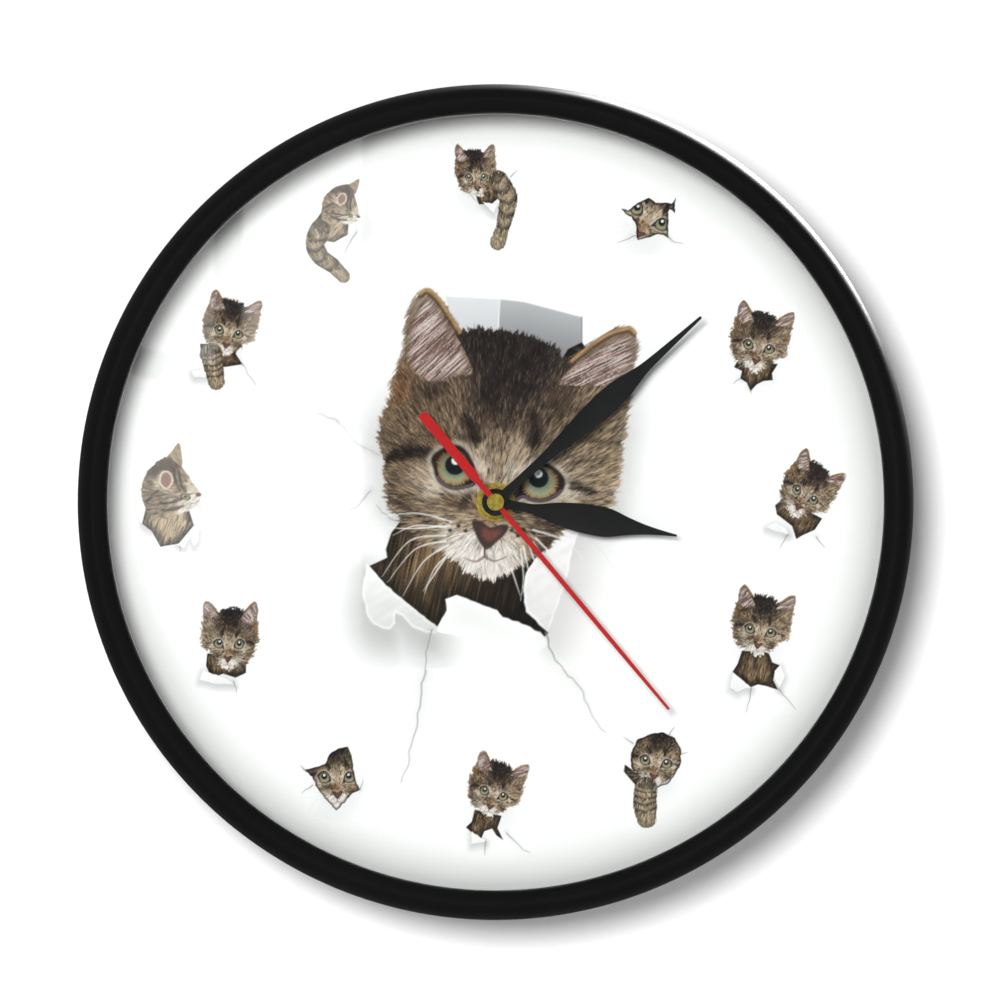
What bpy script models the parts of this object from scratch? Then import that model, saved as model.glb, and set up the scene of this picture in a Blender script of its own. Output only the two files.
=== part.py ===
"""Round quartz wall clock. Metres, +Z up, the dial faces -Y, and the hands turn about the Y axis.

Planes across the clock are given as distances ahead of the wall: the frame's rear rim is at 0.
"""
import math

import bmesh
import bpy

MM = 0.001

# Overall sizes
FRAME_RADIUS = 150.0 * MM
BEZEL_WIDTH = 11.0 * MM  # frame's outer edge to the dial that shows
HAND_ROOM = 12.7 * MM  # dial's front to the glass's rear
MOVEMENT_DEPTH = 15.5 * MM

# Gaps
CUT_SPARE = 1.0 * MM  # how far a cutting tool runs past a surface
TOUCH_GAP = 0.3 * MM  # between pieces that rest on each other
RUNNING_GAP = 0.08 * MM  # radial, a turning shaft in its hole
PRESS_GAP = 0.05 * MM  # radial, a piece pressed on its shaft
FIT_GAP = 0.4 * MM  # radial, discs dropped into the frame

# Frame, glass and spacer
FRAME_WALL = 7.4 * MM  # outer edge to the bore that holds glass and dial
FRAME_TAPER = 1.0 * MM  # how much narrower the frame is at the wall
REBATE_WALL = 3.7 * MM  # rim left outside the rear cover's rebate
LIP_HEIGHT = 1.2 * MM
LIP_FALL = 3.0 * MM  # crown to lip
SHOULDER_HEIGHT = 11.0 * MM  # where the frame's side starts to round over
GLASS_THICKNESS = 2.0 * MM
SPACER_WALL = 2.7 * MM

# Dial and covers
DIAL_THICKNESS = 0.5 * MM
BACKING_THICKNESS = 3.0 * MM
COVER_RECESS = 1.0 * MM  # wall to the rear cover's face
COVER_THICKNESS = 2.0 * MM
RING_WALL = 2.6 * MM  # ring that holds the backing board forwards
WINDOW_MARGIN = 2.0 * MM  # around the movement
KNOB_ROOM = 4.4 * MM  # wall to the movement's rear face

# Rear-cover screws
SCREW_COUNT = 6
SCREW_FIRST_ANGLE = math.radians(30.0)
SCREW_SHANK = 1.2 * MM
SCREW_HEAD = 1.55 * MM
SCREW_HEAD_HEIGHT = 0.8 * MM
SCREW_LENGTH = 8.0 * MM
SCREW_HOLE_GAP = 0.25 * MM

# Hanger
HANGER_HALF_WIDTH = 18.0 * MM
HANGER_HALF_HEIGHT = 15.0 * MM
HANGER_THICKNESS = 1.0 * MM
HANGER_MARGIN = 3.0 * MM  # plate's top to the retaining ring
HANGER_SCREW_OFFSET = 14.0 * MM
KEYHOLE_RADIUS = 4.75 * MM
KEYHOLE_SLOT = 2.3 * MM
KEYHOLE_RISE = 9.5 * MM
KEYHOLE_DROP = 4.0 * MM  # plate's middle to the keyhole's round part
HANGER_OPENING_HALF_WIDTH = 9.0 * MM
HANGER_OPENING_HALF_HEIGHT = 12.0 * MM

# Movement shells
CASE_WALL = 1.2 * MM
CASE_FRONT = 1.5 * MM
BAY_FLOOR = 1.6 * MM
BAY_WALL = 1.0 * MM
BAY_CLEARANCE = 0.45 * MM  # above and below the cell
PARTITION = 0.8 * MM
WHEEL_CLEARANCE = 0.26 * MM  # centre wheel's teeth to the partition
CONTACT_ROOM = 1.25 * MM  # each end of the cell to the back of its contact
BRIDGE_POST_RADIUS = 2.0 * MM
BRIDGE_SCREW_SHANK = 0.72 * MM
BRIDGE_SCREW_HEAD = 1.4 * MM
BRIDGE_SCREW_LENGTH = 4.5 * MM
BRIDGE_HOLE = 0.9 * MM
BRIDGE_HOLE_SPARE = 1.0 * MM  # past the screw's end
STEM_BOSS_RADIUS = 1.3 * MM
LEFT_POST_HEIGHT = 3.0 * MM
LEFT_POST_MARGIN = 2.8 * MM  # side wall to the post's middle
RIGHT_POST = (18.0 * MM, -4.0 * MM)

# Stem of bushing and pipes, radii
BUSHING_OUTER = 4.0 * MM
HOUR_PIPE_OUTER = 2.2 * MM
MINUTE_PIPE_OUTER = 1.4 * MM
SECOND_ARBOR = 0.5 * MM
WASHER_RADIUS = 7.0 * MM
RUBBER_RADIUS = 9.0 * MM
NUT_RADIUS = 5.7 * MM
WASHER_THICKNESS = 0.5 * MM
NUT_THICKNESS = 2.2 * MM

# Wheel teeth, as multiples of the module
ADDENDUM = 0.85
DEDENDUM = 1.2
TIP_HALF = 0.2
ROOT_HALF = 0.68

# Wheel train
CANNON_TEETH = 12
MINUTE_WHEEL_TEETH = 36
MINUTE_PINION_TEETH = 10
HOUR_TEETH = 40
CENTRE_TEETH = 64
THIRD_PINION_TEETH = 8
THIRD_TEETH = 60
SECOND_PINION_TEETH = 8
SECOND_TEETH = 40
FIFTH_PINION_TEETH = 8
FIFTH_TEETH = 48
ROTOR_TEETH = 8
SETTING_TEETH = 12

THIRD_DISTANCE = 11.88 * MM
FIFTH_DISTANCE = 8.4 * MM
ROTOR_DISTANCE = 7.84 * MM
MINUTE_WHEEL_DISTANCE = 9.0 * MM
THIRD_ANGLE = math.radians(145.0)
FIFTH_ANGLE = math.radians(40.0)
ROTOR_ANGLE = math.radians(50.0)
MINUTE_WHEEL_ANGLE = math.radians(100.0)
SETTING_ANGLE = math.radians(90.0)

# Heights in the movement, measured back from the inside of the case's front wall
HOUR_WHEEL_DROP = 0.5 * MM
WHEEL_THICKNESS = 1.0 * MM
THIN_WHEEL = 0.8 * MM
MINUTE_WHEEL_DROP = 1.8 * MM
CENTRE_WHEEL_DROP = 3.5 * MM
THIRD_WHEEL_DROP = 5.0 * MM
SECOND_WHEEL_DROP = 6.7 * MM
FIFTH_WHEEL_DROP = 8.3 * MM
BRIDGE_DROP = 9.4 * MM
BRIDGE_THICKNESS = 0.9 * MM
STATOR_DROP = 10.7 * MM
STATOR_THICKNESS = 0.8 * MM

PIN_RADIUS = 0.5 * MM
COLLAR_RADIUS = 1.1 * MM
PIVOT_RADIUS = 0.35 * MM
BOSS_RADIUS = 1.6 * MM
ROTOR_RADIUS = 3.0 * MM
ROTOR_THICKNESS = 1.1 * MM
STATOR_BORE = 3.5 * MM
COVER_PLATE = 1.5 * MM

# Coil
COIL_MARGIN = 3.3 * MM  # side wall to the coil core's end
COIL_DROP = 5.3 * MM  # top wall to the coil's axis
CORE_HALF_LENGTH = 9.5 * MM
CORE_HALF_WIDTH = 1.25 * MM
CORE_HALF_THICKNESS = 0.6 * MM
CORE_FOOT = 2.6 * MM
BOBBIN_HALF_LENGTH = 5.8 * MM
BOBBIN_INNER = 1.75 * MM
BOBBIN_OUTER = 2.15 * MM
BOBBIN_FLANGE = 3.4 * MM
FLANGE_THICKNESS = 0.6 * MM
WINDING_RADIUS = 3.1 * MM
COIL_AXIS_DROP = 8.6 * MM

# Circuit
BOARD_MARGIN = 0.8 * MM  # walls to the board
BOARD_LENGTH = 19.5 * MM
BOARD_HEIGHT = 7.2 * MM
BOARD_THICKNESS = 1.0 * MM
CHIP_ALONG = 6.5 * MM  # board's outer end to the chip's middle
CHIP_HALF = 2.0 * MM
CHIP_THICKNESS = 1.0 * MM
CRYSTAL_ALONG = 15.0 * MM
CRYSTAL_RADIUS = 1.0 * MM
CRYSTAL_HALF_LENGTH = 3.0 * MM

# Setting knob
STEM_RADIUS = 0.9 * MM
KNOB_RADIUS = 6.0 * MM
KNOB_HEIGHT = 3.1 * MM
KNOB_FACE = 1.0 * MM  # knob's closed rear face
KNOB_FLUTES = 20
KNOB_FLUTE_DEPTH = 0.35 * MM

# Battery cell, size AA
CELL_RADIUS = 7.1 * MM
CELL_LENGTH = 49.3 * MM
CELL_NUB_RADIUS = 2.6 * MM
CELL_NUB_LENGTH = 1.2 * MM
CELL_SHIFT = 0.25 * MM  # the cell sits a little towards its positive contact
CONTACT_THICKNESS = 0.35 * MM
CONTACT_HALF_HEIGHT = 5.5 * MM
SPRING_RISE = 0.8 * MM

# Hands: stations are distance from the axis and half the width there
HAND_THICKNESS = 0.5 * MM
HOUR_ANGLE = math.radians(100.5)
MINUTE_ANGLE = math.radians(48.0)
SECOND_ANGLE = math.radians(140.1)
HOUR_BOSS = 4.9 * MM
MINUTE_BOSS = 4.7 * MM
SECOND_BOSS = 2.9 * MM
CAP_RADIUS = 3.1 * MM
CAP_HEIGHT = 1.3 * MM
COLLET_WIDTH = 1.1 * MM
COLLET_HEIGHT = 0.9 * MM
HOUR_STATIONS = [(12.0, 1.7), (16.0, 2.3), (22.0, 3.9), (30.0, 5.1), (37.0, 5.4), (42.0, 5.0),
                 (48.0, 3.3), (54.0, 1.9), (60.0, 1.0), (66.3, 0.35)]
MINUTE_STATIONS = [(12.0, 1.6), (24.0, 1.9), (34.0, 2.9), (44.0, 4.0), (54.0, 4.4), (61.0, 4.0),
                   (67.0, 2.8), (73.0, 1.8), (86.0, 1.1), (99.4, 0.5)]
SECOND_STATIONS = [(30.0, 0.9), (70.0, 0.75), (97.1, 0.5)]
SECOND_TAIL = [(10.0, 1.05), (12.5, 1.7), (39.8, 1.7), (41.5, 0.8)]

# Facets around a full turn
RIM_STEPS = 72
SHAFT_STEPS = 24
PIN_STEPS = 16

# Worked out from the sizes above
frame_bore = FRAME_RADIUS - FRAME_WALL
opening_radius = FRAME_RADIUS - BEZEL_WIDTH
disc_radius = frame_bore - FIT_GAP
movement_rear = KNOB_ROOM
movement_front = movement_rear + MOVEMENT_DEPTH
rubber_rear = movement_front + TOUCH_GAP
backing_rear = rubber_rear + WASHER_THICKNESS + TOUCH_GAP
dial_rear = backing_rear + BACKING_THICKNESS + TOUCH_GAP
dial_front = dial_rear + DIAL_THICKNESS
glass_rear = dial_front + HAND_ROOM
glass_front = glass_rear + GLASS_THICKNESS
lip_rear = glass_front + TOUCH_GAP
frame_depth = lip_rear + LIP_HEIGHT + LIP_FALL
cover_front = COVER_RECESS + COVER_THICKNESS
case_inside = movement_front - CASE_FRONT

centre_module = 2.0 * THIRD_DISTANCE / (CENTRE_TEETH + THIRD_PINION_TEETH)
third_module = 2.0 * THIRD_DISTANCE / (THIRD_TEETH + SECOND_PINION_TEETH)
contact_end = (CELL_LENGTH + CELL_NUB_LENGTH) / 2.0 + CONTACT_ROOM
bay_half = contact_end + TOUCH_GAP
third_reach = third_module * (THIRD_TEETH / 2.0 + ADDENDUM) - THIRD_DISTANCE * math.cos(THIRD_ANGLE)
chamber_half = max(bay_half, third_reach + WHEEL_CLEARANCE + 2.0 * BRIDGE_POST_RADIUS)
movement_half = chamber_half + CASE_WALL
coil_height = chamber_half - COIL_DROP
bridge_posts = [(LEFT_POST_MARGIN - chamber_half, LEFT_POST_HEIGHT), RIGHT_POST]
chamber_bottom = -centre_module * (CENTRE_TEETH / 2.0 + ADDENDUM) - WHEEL_CLEARANCE
bay_top = chamber_bottom - PARTITION
bay_bottom = bay_top - 2.0 * (CELL_RADIUS + BAY_CLEARANCE)
movement_bottom = bay_bottom - BAY_WALL

hour_pipe_bore = MINUTE_PIPE_OUTER + RUNNING_GAP
minute_pipe_bore = SECOND_ARBOR + RUNNING_GAP
bushing_bore = HOUR_PIPE_OUTER + RUNNING_GAP

washer_rear = dial_front + TOUCH_GAP
nut_rear = washer_rear + WASHER_THICKNESS + TOUCH_GAP
bushing_front = nut_rear + NUT_THICKNESS + TOUCH_GAP
hour_collet_rear = bushing_front + TOUCH_GAP
hour_hand_rear = hour_collet_rear + COLLET_HEIGHT + TOUCH_GAP
hour_pipe_front = hour_hand_rear + HAND_THICKNESS
minute_collet_rear = hour_pipe_front + TOUCH_GAP
minute_hand_rear = minute_collet_rear + COLLET_HEIGHT + TOUCH_GAP
minute_pipe_front = minute_hand_rear + HAND_THICKNESS
second_hand_rear = minute_pipe_front + TOUCH_GAP * 2
second_arbor_front = second_hand_rear + HAND_THICKNESS
cap_rear = second_arbor_front + TOUCH_GAP


def module_for(distance, first_teeth, second_teeth):
    return 2.0 * distance / (first_teeth + second_teeth)


def beside(centre, distance, angle):
    """The point at a distance from a centre; angles run from +X towards +Z."""
    return (centre[0] + distance * math.cos(angle), centre[1] + distance * math.sin(angle))


def meshing_phase(teeth, phase, angle, next_teeth):
    """The next wheel's tooth angle that puts a gap of it on the first wheel's tooth."""
    return angle + math.pi - teeth / next_teeth * (phase - angle) + math.pi / next_teeth


hand_axis = (0.0, 0.0)
third_axis = beside(hand_axis, THIRD_DISTANCE, THIRD_ANGLE)
fifth_axis = beside(hand_axis, FIFTH_DISTANCE, FIFTH_ANGLE)
rotor_axis = beside(fifth_axis, ROTOR_DISTANCE, ROTOR_ANGLE)
minute_wheel_axis = beside(hand_axis, MINUTE_WHEEL_DISTANCE, MINUTE_WHEEL_ANGLE)
setting_axis = beside(minute_wheel_axis, MINUTE_WHEEL_DISTANCE, SETTING_ANGLE)


def y_at(ahead):
    """Y of a plane that lies this far ahead of the wall."""
    return frame_depth / 2.0 - ahead


def finish(name, mesh_data, colour, roughness, metallic=0.0):
    """Turn a bmesh into a named object with its own material."""
    bmesh.ops.recalc_face_normals(mesh_data, faces=mesh_data.faces)
    mesh = bpy.data.meshes.new(name)
    mesh_data.to_mesh(mesh)
    mesh_data.free()
    mesh.shade_smooth()
    mesh.set_sharp_from_angle(angle=math.radians(35.0))
    material = bpy.data.materials.new(name)
    material.use_nodes = True
    shader = material.node_tree.nodes["Principled BSDF"]
    shader.inputs["Base Color"].default_value = (*colour, 1.0)
    shader.inputs["Roughness"].default_value = roughness
    shader.inputs["Metallic"].default_value = metallic
    mesh.materials.append(material)
    item = bpy.data.objects.new(name, mesh)
    bpy.context.scene.collection.objects.link(item)
    return item


def circle(centre, radius, steps):
    return [beside(centre, radius, 2.0 * math.pi * i / steps) for i in range(steps)]


def rectangle(x_range, z_range):
    return [(x_range[0], z_range[0]), (x_range[1], z_range[0]),
            (x_range[1], z_range[1]), (x_range[0], z_range[1])]


def gear_outline(teeth, module, phase, centre):
    """Straight-sided teeth; the first tooth's middle is at the phase angle."""
    pitch_radius = module * teeth / 2.0
    tip = pitch_radius + ADDENDUM * module
    root = pitch_radius - DEDENDUM * module
    corners = [(root, -ROOT_HALF), (tip, -TIP_HALF), (tip, TIP_HALF), (root, ROOT_HALF)]
    points = []
    for i in range(teeth):
        middle = phase + 2.0 * math.pi * i / teeth
        points += [beside(centre, radius, middle + half * module / radius) for radius, half in corners]
    return points


def plate(name, outline, rear, front, look, holes=()):
    """A flat outline in the XZ plane, with holes, given its thickness along Y."""
    work = bmesh.new()
    for loop in [outline, *holes]:
        corners = [work.verts.new((x, y_at(rear), z)) for x, z in loop]
        for i, corner in enumerate(corners):
            work.edges.new((corner, corners[i - 1]))
    bmesh.ops.triangle_fill(work, edges=work.edges[:], use_beauty=True, use_dissolve=False)
    grown = bmesh.ops.extrude_face_region(work, geom=work.faces[:])
    moved = [item for item in grown["geom"] if isinstance(item, bmesh.types.BMVert)]
    bmesh.ops.translate(work, verts=moved, vec=(0.0, rear - front, 0.0))
    return finish(name, work, *look)


def turned(name, profile, steps, look, centre=(0.0, 0.0)):
    """Spin a profile of (radius, distance ahead of the wall) about an axis along Y."""
    work = bmesh.new()
    corners = [work.verts.new((radius, y_at(ahead), 0.0)) for radius, ahead in profile]
    for first, second in zip(corners, corners[1:]):
        work.edges.new((first, second))
    if profile[0][0] > 0.0:
        work.edges.new((corners[-1], corners[0]))
    bmesh.ops.spin(work, geom=work.verts[:] + work.edges[:], cent=(0.0, 0.0, 0.0), axis=(0.0, 1.0, 0.0),
                   angle=2.0 * math.pi, steps=steps, use_merge=True, use_duplicate=False)
    bmesh.ops.remove_doubles(work, verts=work.verts[:], dist=0.001 * MM)
    bmesh.ops.translate(work, verts=work.verts[:], vec=(centre[0], 0.0, centre[1]))
    return finish(name, work, *look)


def tube(name, centre, inner, outer, rear, front, steps, look):
    profile = [(inner, rear), (outer, rear), (outer, front), (inner, front)]
    return turned(name, profile, steps, look, centre)


def rod(name, centre, radius, rear, front, steps, look):
    profile = [(0.0, rear), (radius, rear), (radius, front), (0.0, front)]
    return turned(name, profile, steps, look, centre)


def block(name, x_range, z_range, rear, front, look):
    return plate(name, rectangle(x_range, z_range), rear, front, look)


def lay_along_x(item, middle, ahead):
    """Turn a piece that was spun about Y so that it lies along X, its front end towards +X."""
    item.rotation_euler = (0.0, 0.0, math.radians(90.0))
    item.location = (middle[0], y_at(ahead), middle[1])


def boolean(item, tool, operation):
    """Cut a tool out of a piece, or join it on; the tool itself isn't a piece."""
    tool.hide_render = True
    tool.display_type = "WIRE"
    step = item.modifiers.new(tool.name, "BOOLEAN")
    step.operation = operation
    step.solver = "EXACT"
    step.object = tool


def cut(item, tool):
    boolean(item, tool, "DIFFERENCE")


def join(item, tool):
    boolean(item, tool, "UNION")


BLACK_PLASTIC = ((0.012, 0.012, 0.013), 0.35)
GREY_PLASTIC = ((0.25, 0.26, 0.27), 0.5)
WHITE_PLASTIC = ((0.8, 0.8, 0.78), 0.45)
GREEN_PLASTIC = ((0.1, 0.3, 0.16), 0.5)
BLACK_PAINT = ((0.011, 0.011, 0.011), 0.3)
RED_PAINT = ((0.5, 0.015, 0.017), 0.35)
BRASS = ((0.72, 0.53, 0.26), 0.3, 1.0)
STEEL = ((0.6, 0.6, 0.6), 0.32, 1.0)
DARK_STEEL = ((0.2, 0.2, 0.21), 0.4, 1.0)
COPPER = ((0.7, 0.32, 0.17), 0.35, 1.0)
RUBBER = ((0.02, 0.02, 0.02), 0.8)
PAPER = ((0.94, 0.94, 0.93), 0.6)
BOARD = ((0.3, 0.22, 0.14), 0.7)
GLASS = ((0.9, 0.95, 0.95), 0.03)
CIRCUIT = ((0.02, 0.16, 0.07), 0.4)


def make_frame():
    crown_radius = (FRAME_RADIUS + opening_radius) / 2.0
    shoulder = frame_depth - SHOULDER_HEIGHT
    halfway_taper = FRAME_TAPER / 4.0
    profile = [(FRAME_RADIUS - FRAME_TAPER, 0.0), (FRAME_RADIUS - halfway_taper, shoulder / 2.0)]
    arc_steps = 6
    for i in range(arc_steps + 1):
        turn = math.pi / 2.0 * i / arc_steps
        profile.append((crown_radius + (FRAME_RADIUS - crown_radius) * math.cos(turn),
                        shoulder + SHOULDER_HEIGHT * math.sin(turn)))
    for i in range(1, arc_steps // 2 + 1):
        turn = math.pi * i / arc_steps
        profile.append((crown_radius - (crown_radius - opening_radius) * math.sin(turn),
                        frame_depth - LIP_FALL * (1.0 - math.cos(turn))))
    rebate = FRAME_RADIUS - REBATE_WALL
    ledge = cover_front + TOUCH_GAP
    profile += [(opening_radius, lip_rear), (frame_bore, lip_rear), (frame_bore, ledge),
                (rebate, ledge), (rebate, 0.0)]
    frame = turned("frame_ring", profile, RIM_STEPS, BLACK_PAINT)
    for i in range(SCREW_COUNT):
        hole = rod(f"frame_screw_hole_{i + 1}", screw_place(i), SCREW_SHANK + SCREW_HOLE_GAP,
                   ledge - TOUCH_GAP, SCREW_LENGTH + COVER_RECESS + TOUCH_GAP, PIN_STEPS, STEEL)
        cut(frame, hole)


def screw_place(index):
    circle_radius = (frame_bore + FRAME_RADIUS - REBATE_WALL) / 2.0
    return beside(hand_axis, circle_radius, SCREW_FIRST_ANGLE + 2.0 * math.pi * index / SCREW_COUNT)


def make_glass_and_dial():
    plate("glass_lens", circle(hand_axis, disc_radius, RIM_STEPS), glass_rear, glass_front, GLASS)
    tube("spacer_ring", hand_axis, disc_radius - SPACER_WALL, disc_radius,
         dial_front + TOUCH_GAP, glass_rear - TOUCH_GAP, RIM_STEPS, WHITE_PLASTIC)
    bushing_hole = circle(hand_axis, BUSHING_OUTER + PRESS_GAP + RUNNING_GAP, SHAFT_STEPS)
    rim = circle(hand_axis, disc_radius, RIM_STEPS)
    plate("dial_sheet", rim, dial_rear, dial_front, PAPER, [bushing_hole])
    plate("backing_board", rim, backing_rear, backing_rear + BACKING_THICKNESS, BOARD, [bushing_hole])


def hanger_middle():
    return disc_radius - RING_WALL - HANGER_MARGIN - HANGER_HALF_HEIGHT


def make_rear_cover():
    tube("retaining_ring", hand_axis, disc_radius - RING_WALL, disc_radius, cover_front + TOUCH_GAP,
         backing_rear - TOUCH_GAP, RIM_STEPS, BLACK_PLASTIC)
    half = movement_half + WINDOW_MARGIN
    width = HANGER_OPENING_HALF_WIDTH
    height = HANGER_OPENING_HALF_HEIGHT
    middle = hanger_middle()
    openings = [rectangle((-half, half), (movement_bottom - WINDOW_MARGIN, half)),
                rectangle((-width, width), (middle - height, middle + height))]
    for i in range(SCREW_COUNT):
        place = screw_place(i)
        openings.append(circle(place, SCREW_SHANK + SCREW_HOLE_GAP, PIN_STEPS))
        make_screw(f"rear_screw_{i + 1}", place, COVER_RECESS - TOUCH_GAP / 2.0, SCREW_LENGTH)
    for side in (-1.0, 1.0):
        place = (side * HANGER_SCREW_OFFSET, middle)
        openings.append(circle(place, SCREW_SHANK + SCREW_HOLE_GAP, PIN_STEPS))
    outer = circle(hand_axis, FRAME_RADIUS - REBATE_WALL - FIT_GAP / 2.0, RIM_STEPS)
    plate("rear_cover", outer, COVER_RECESS, cover_front, BLACK_PLASTIC, openings)


def make_screw(name, place, seat, length):
    """Head towards the wall, shank forwards from the seat plane."""
    profile = [(0.0, seat - SCREW_HEAD_HEIGHT), (SCREW_HEAD, seat - SCREW_HEAD_HEIGHT), (SCREW_HEAD, seat),
               (SCREW_SHANK, seat), (SCREW_SHANK, seat + length), (0.0, seat + length)]
    turned(name, profile, PIN_STEPS, STEEL, place)


def make_hanger():
    middle = hanger_middle()
    round_middle = (0.0, middle - KEYHOLE_DROP)
    slot_start = math.asin(KEYHOLE_SLOT / KEYHOLE_RADIUS)
    keyhole = []
    arc_steps = 16
    for i in range(arc_steps + 1):
        turn = math.pi / 2.0 - slot_start - (2.0 * math.pi - 2.0 * slot_start) * i / arc_steps
        keyhole.append(beside(round_middle, KEYHOLE_RADIUS, turn))
    slot_middle = (0.0, round_middle[1] + KEYHOLE_RISE)
    slot_steps = 6
    for i in range(slot_steps + 1):
        keyhole.append(beside(slot_middle, KEYHOLE_SLOT, math.pi - math.pi * i / slot_steps))
    holes = [keyhole]
    rear = cover_front + TOUCH_GAP
    for side, number in ((-1.0, 1), (1.0, 2)):
        place = (side * HANGER_SCREW_OFFSET, middle)
        holes.append(circle(place, SCREW_SHANK + PRESS_GAP * 2.0, PIN_STEPS))
        make_screw(f"hanger_screw_{number}", place, COVER_RECESS - TOUCH_GAP / 2.0,
                   rear + HANGER_THICKNESS - COVER_RECESS + TOUCH_GAP * 2.0)
    outline = rectangle((-HANGER_HALF_WIDTH, HANGER_HALF_WIDTH),
                        (middle - HANGER_HALF_HEIGHT, middle + HANGER_HALF_HEIGHT))
    plate("hanger_plate", outline, rear, rear + HANGER_THICKNESS, STEEL, holes)


def wheel(name, axis, teeth, module, phase, levels, bore, look, pinion=None, steps=PIN_STEPS):
    """A toothed wheel; a pinion of (teeth, module, phase, rear, front) may pass through it."""
    if pinion is None:
        outline = gear_outline(teeth, module, phase, axis)
        return plate(name, outline, *levels, look, [circle(axis, bore, steps)])
    disc = plate(name, gear_outline(teeth, module, phase, axis), *levels, look)
    pinion_teeth, pinion_module, pinion_phase, rear, front = pinion
    leaves = gear_outline(pinion_teeth, pinion_module, pinion_phase, axis)
    join(disc, plate(name + "_pinion", leaves, rear, front, look))
    lowest = min(rear, levels[0]) - CUT_SPARE
    highest = max(front, levels[1]) + CUT_SPARE
    cut(disc, rod(name + "_bore", axis, bore, lowest, highest, steps, look))
    return disc


def make_train():
    cannon_module = module_for(MINUTE_WHEEL_DISTANCE, CANNON_TEETH, MINUTE_WHEEL_TEETH)
    hour_module = module_for(MINUTE_WHEEL_DISTANCE, MINUTE_PINION_TEETH, HOUR_TEETH)
    second_module = module_for(FIFTH_DISTANCE, SECOND_TEETH, FIFTH_PINION_TEETH)
    fifth_module = module_for(ROTOR_DISTANCE, FIFTH_TEETH, ROTOR_TEETH)

    hour_front = case_inside - HOUR_WHEEL_DROP
    minute_front = case_inside - MINUTE_WHEEL_DROP
    centre_front = case_inside - CENTRE_WHEEL_DROP
    third_front = case_inside - THIRD_WHEEL_DROP
    second_front = case_inside - SECOND_WHEEL_DROP
    fifth_front = case_inside - FIFTH_WHEEL_DROP
    overlap = 0.1 * MM  # how far a pinion stands past the wheel it meshes with

    cannon_phase = 0.0
    minute_wheel_phase = meshing_phase(CANNON_TEETH, cannon_phase, MINUTE_WHEEL_ANGLE, MINUTE_WHEEL_TEETH)
    setting_phase = meshing_phase(MINUTE_WHEEL_TEETH, minute_wheel_phase, SETTING_ANGLE, SETTING_TEETH)
    back_angle = MINUTE_WHEEL_ANGLE + math.pi
    minute_pinion_phase = 0.0
    hour_phase = meshing_phase(MINUTE_PINION_TEETH, minute_pinion_phase, back_angle, HOUR_TEETH)
    centre_phase = 0.0
    third_pinion_phase = meshing_phase(CENTRE_TEETH, centre_phase, THIRD_ANGLE, THIRD_PINION_TEETH)
    third_phase = 0.0
    second_pinion_phase = meshing_phase(THIRD_TEETH, third_phase, THIRD_ANGLE + math.pi, SECOND_PINION_TEETH)
    second_phase = 0.0
    fifth_pinion_phase = meshing_phase(SECOND_TEETH, second_phase, FIFTH_ANGLE, FIFTH_PINION_TEETH)
    fifth_phase = 0.0
    rotor_phase = meshing_phase(FIFTH_TEETH, fifth_phase, ROTOR_ANGLE, ROTOR_TEETH)

    hour = plate("hour_wheel", gear_outline(HOUR_TEETH, hour_module, hour_phase, hand_axis),
                 hour_front - WHEEL_THICKNESS, hour_front, WHITE_PLASTIC)
    join(hour, rod("hour_pipe", hand_axis, HOUR_PIPE_OUTER, hour_front - WHEEL_THICKNESS / 2.0,
                   hour_pipe_front, SHAFT_STEPS, WHITE_PLASTIC))
    cut(hour, rod("hour_bore", hand_axis, hour_pipe_bore, hour_front - WHEEL_THICKNESS - CUT_SPARE,
                  hour_pipe_front + CUT_SPARE, SHAFT_STEPS, WHITE_PLASTIC))

    cannon_outline = gear_outline(CANNON_TEETH, cannon_module, cannon_phase, hand_axis)
    minute_pipe_rear = centre_front - WHEEL_THICKNESS
    pipe = rod("minute_pipe", hand_axis, MINUTE_PIPE_OUTER, minute_pipe_rear, minute_pipe_front,
               SHAFT_STEPS, BRASS)
    join(pipe, plate("cannon_leaves", cannon_outline, minute_front - WHEEL_THICKNESS - overlap,
                     minute_front + overlap, BRASS))
    cut(pipe, rod("minute_bore", hand_axis, minute_pipe_bore, minute_pipe_rear - CUT_SPARE,
                  minute_pipe_front + CUT_SPARE, SHAFT_STEPS, BRASS))

    wheel("centre_wheel", hand_axis, CENTRE_TEETH, centre_module, centre_phase,
          (centre_front - WHEEL_THICKNESS + overlap, centre_front), MINUTE_PIPE_OUTER + PRESS_GAP, BRASS,
          steps=SHAFT_STEPS)
    wheel("minute_wheel", minute_wheel_axis, MINUTE_WHEEL_TEETH, cannon_module, minute_wheel_phase,
          (minute_front - WHEEL_THICKNESS, minute_front), PIN_RADIUS + RUNNING_GAP, WHITE_PLASTIC,
          (MINUTE_PINION_TEETH, hour_module, minute_pinion_phase, minute_front - WHEEL_THICKNESS / 2.0,
           hour_front + overlap / 2.0))
    wheel("third_wheel", third_axis, THIRD_TEETH, third_module, third_phase,
          (third_front - THIN_WHEEL, third_front), PIN_RADIUS + RUNNING_GAP, WHITE_PLASTIC,
          (THIRD_PINION_TEETH, centre_module, third_pinion_phase, third_front - THIN_WHEEL / 2.0,
           centre_front + overlap))
    wheel("second_wheel", hand_axis, SECOND_TEETH, second_module, second_phase,
          (second_front - THIN_WHEEL, second_front), SECOND_ARBOR + PRESS_GAP, WHITE_PLASTIC,
          (SECOND_PINION_TEETH, third_module, second_pinion_phase, second_front - THIN_WHEEL / 2.0,
           third_front + overlap))
    wheel("fifth_wheel", fifth_axis, FIFTH_TEETH, fifth_module, fifth_phase,
          (fifth_front - THIN_WHEEL, fifth_front), PIN_RADIUS + RUNNING_GAP, WHITE_PLASTIC,
          (FIFTH_PINION_TEETH, second_module, fifth_pinion_phase, fifth_front - THIN_WHEEL / 2.0,
           second_front + overlap))

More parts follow.
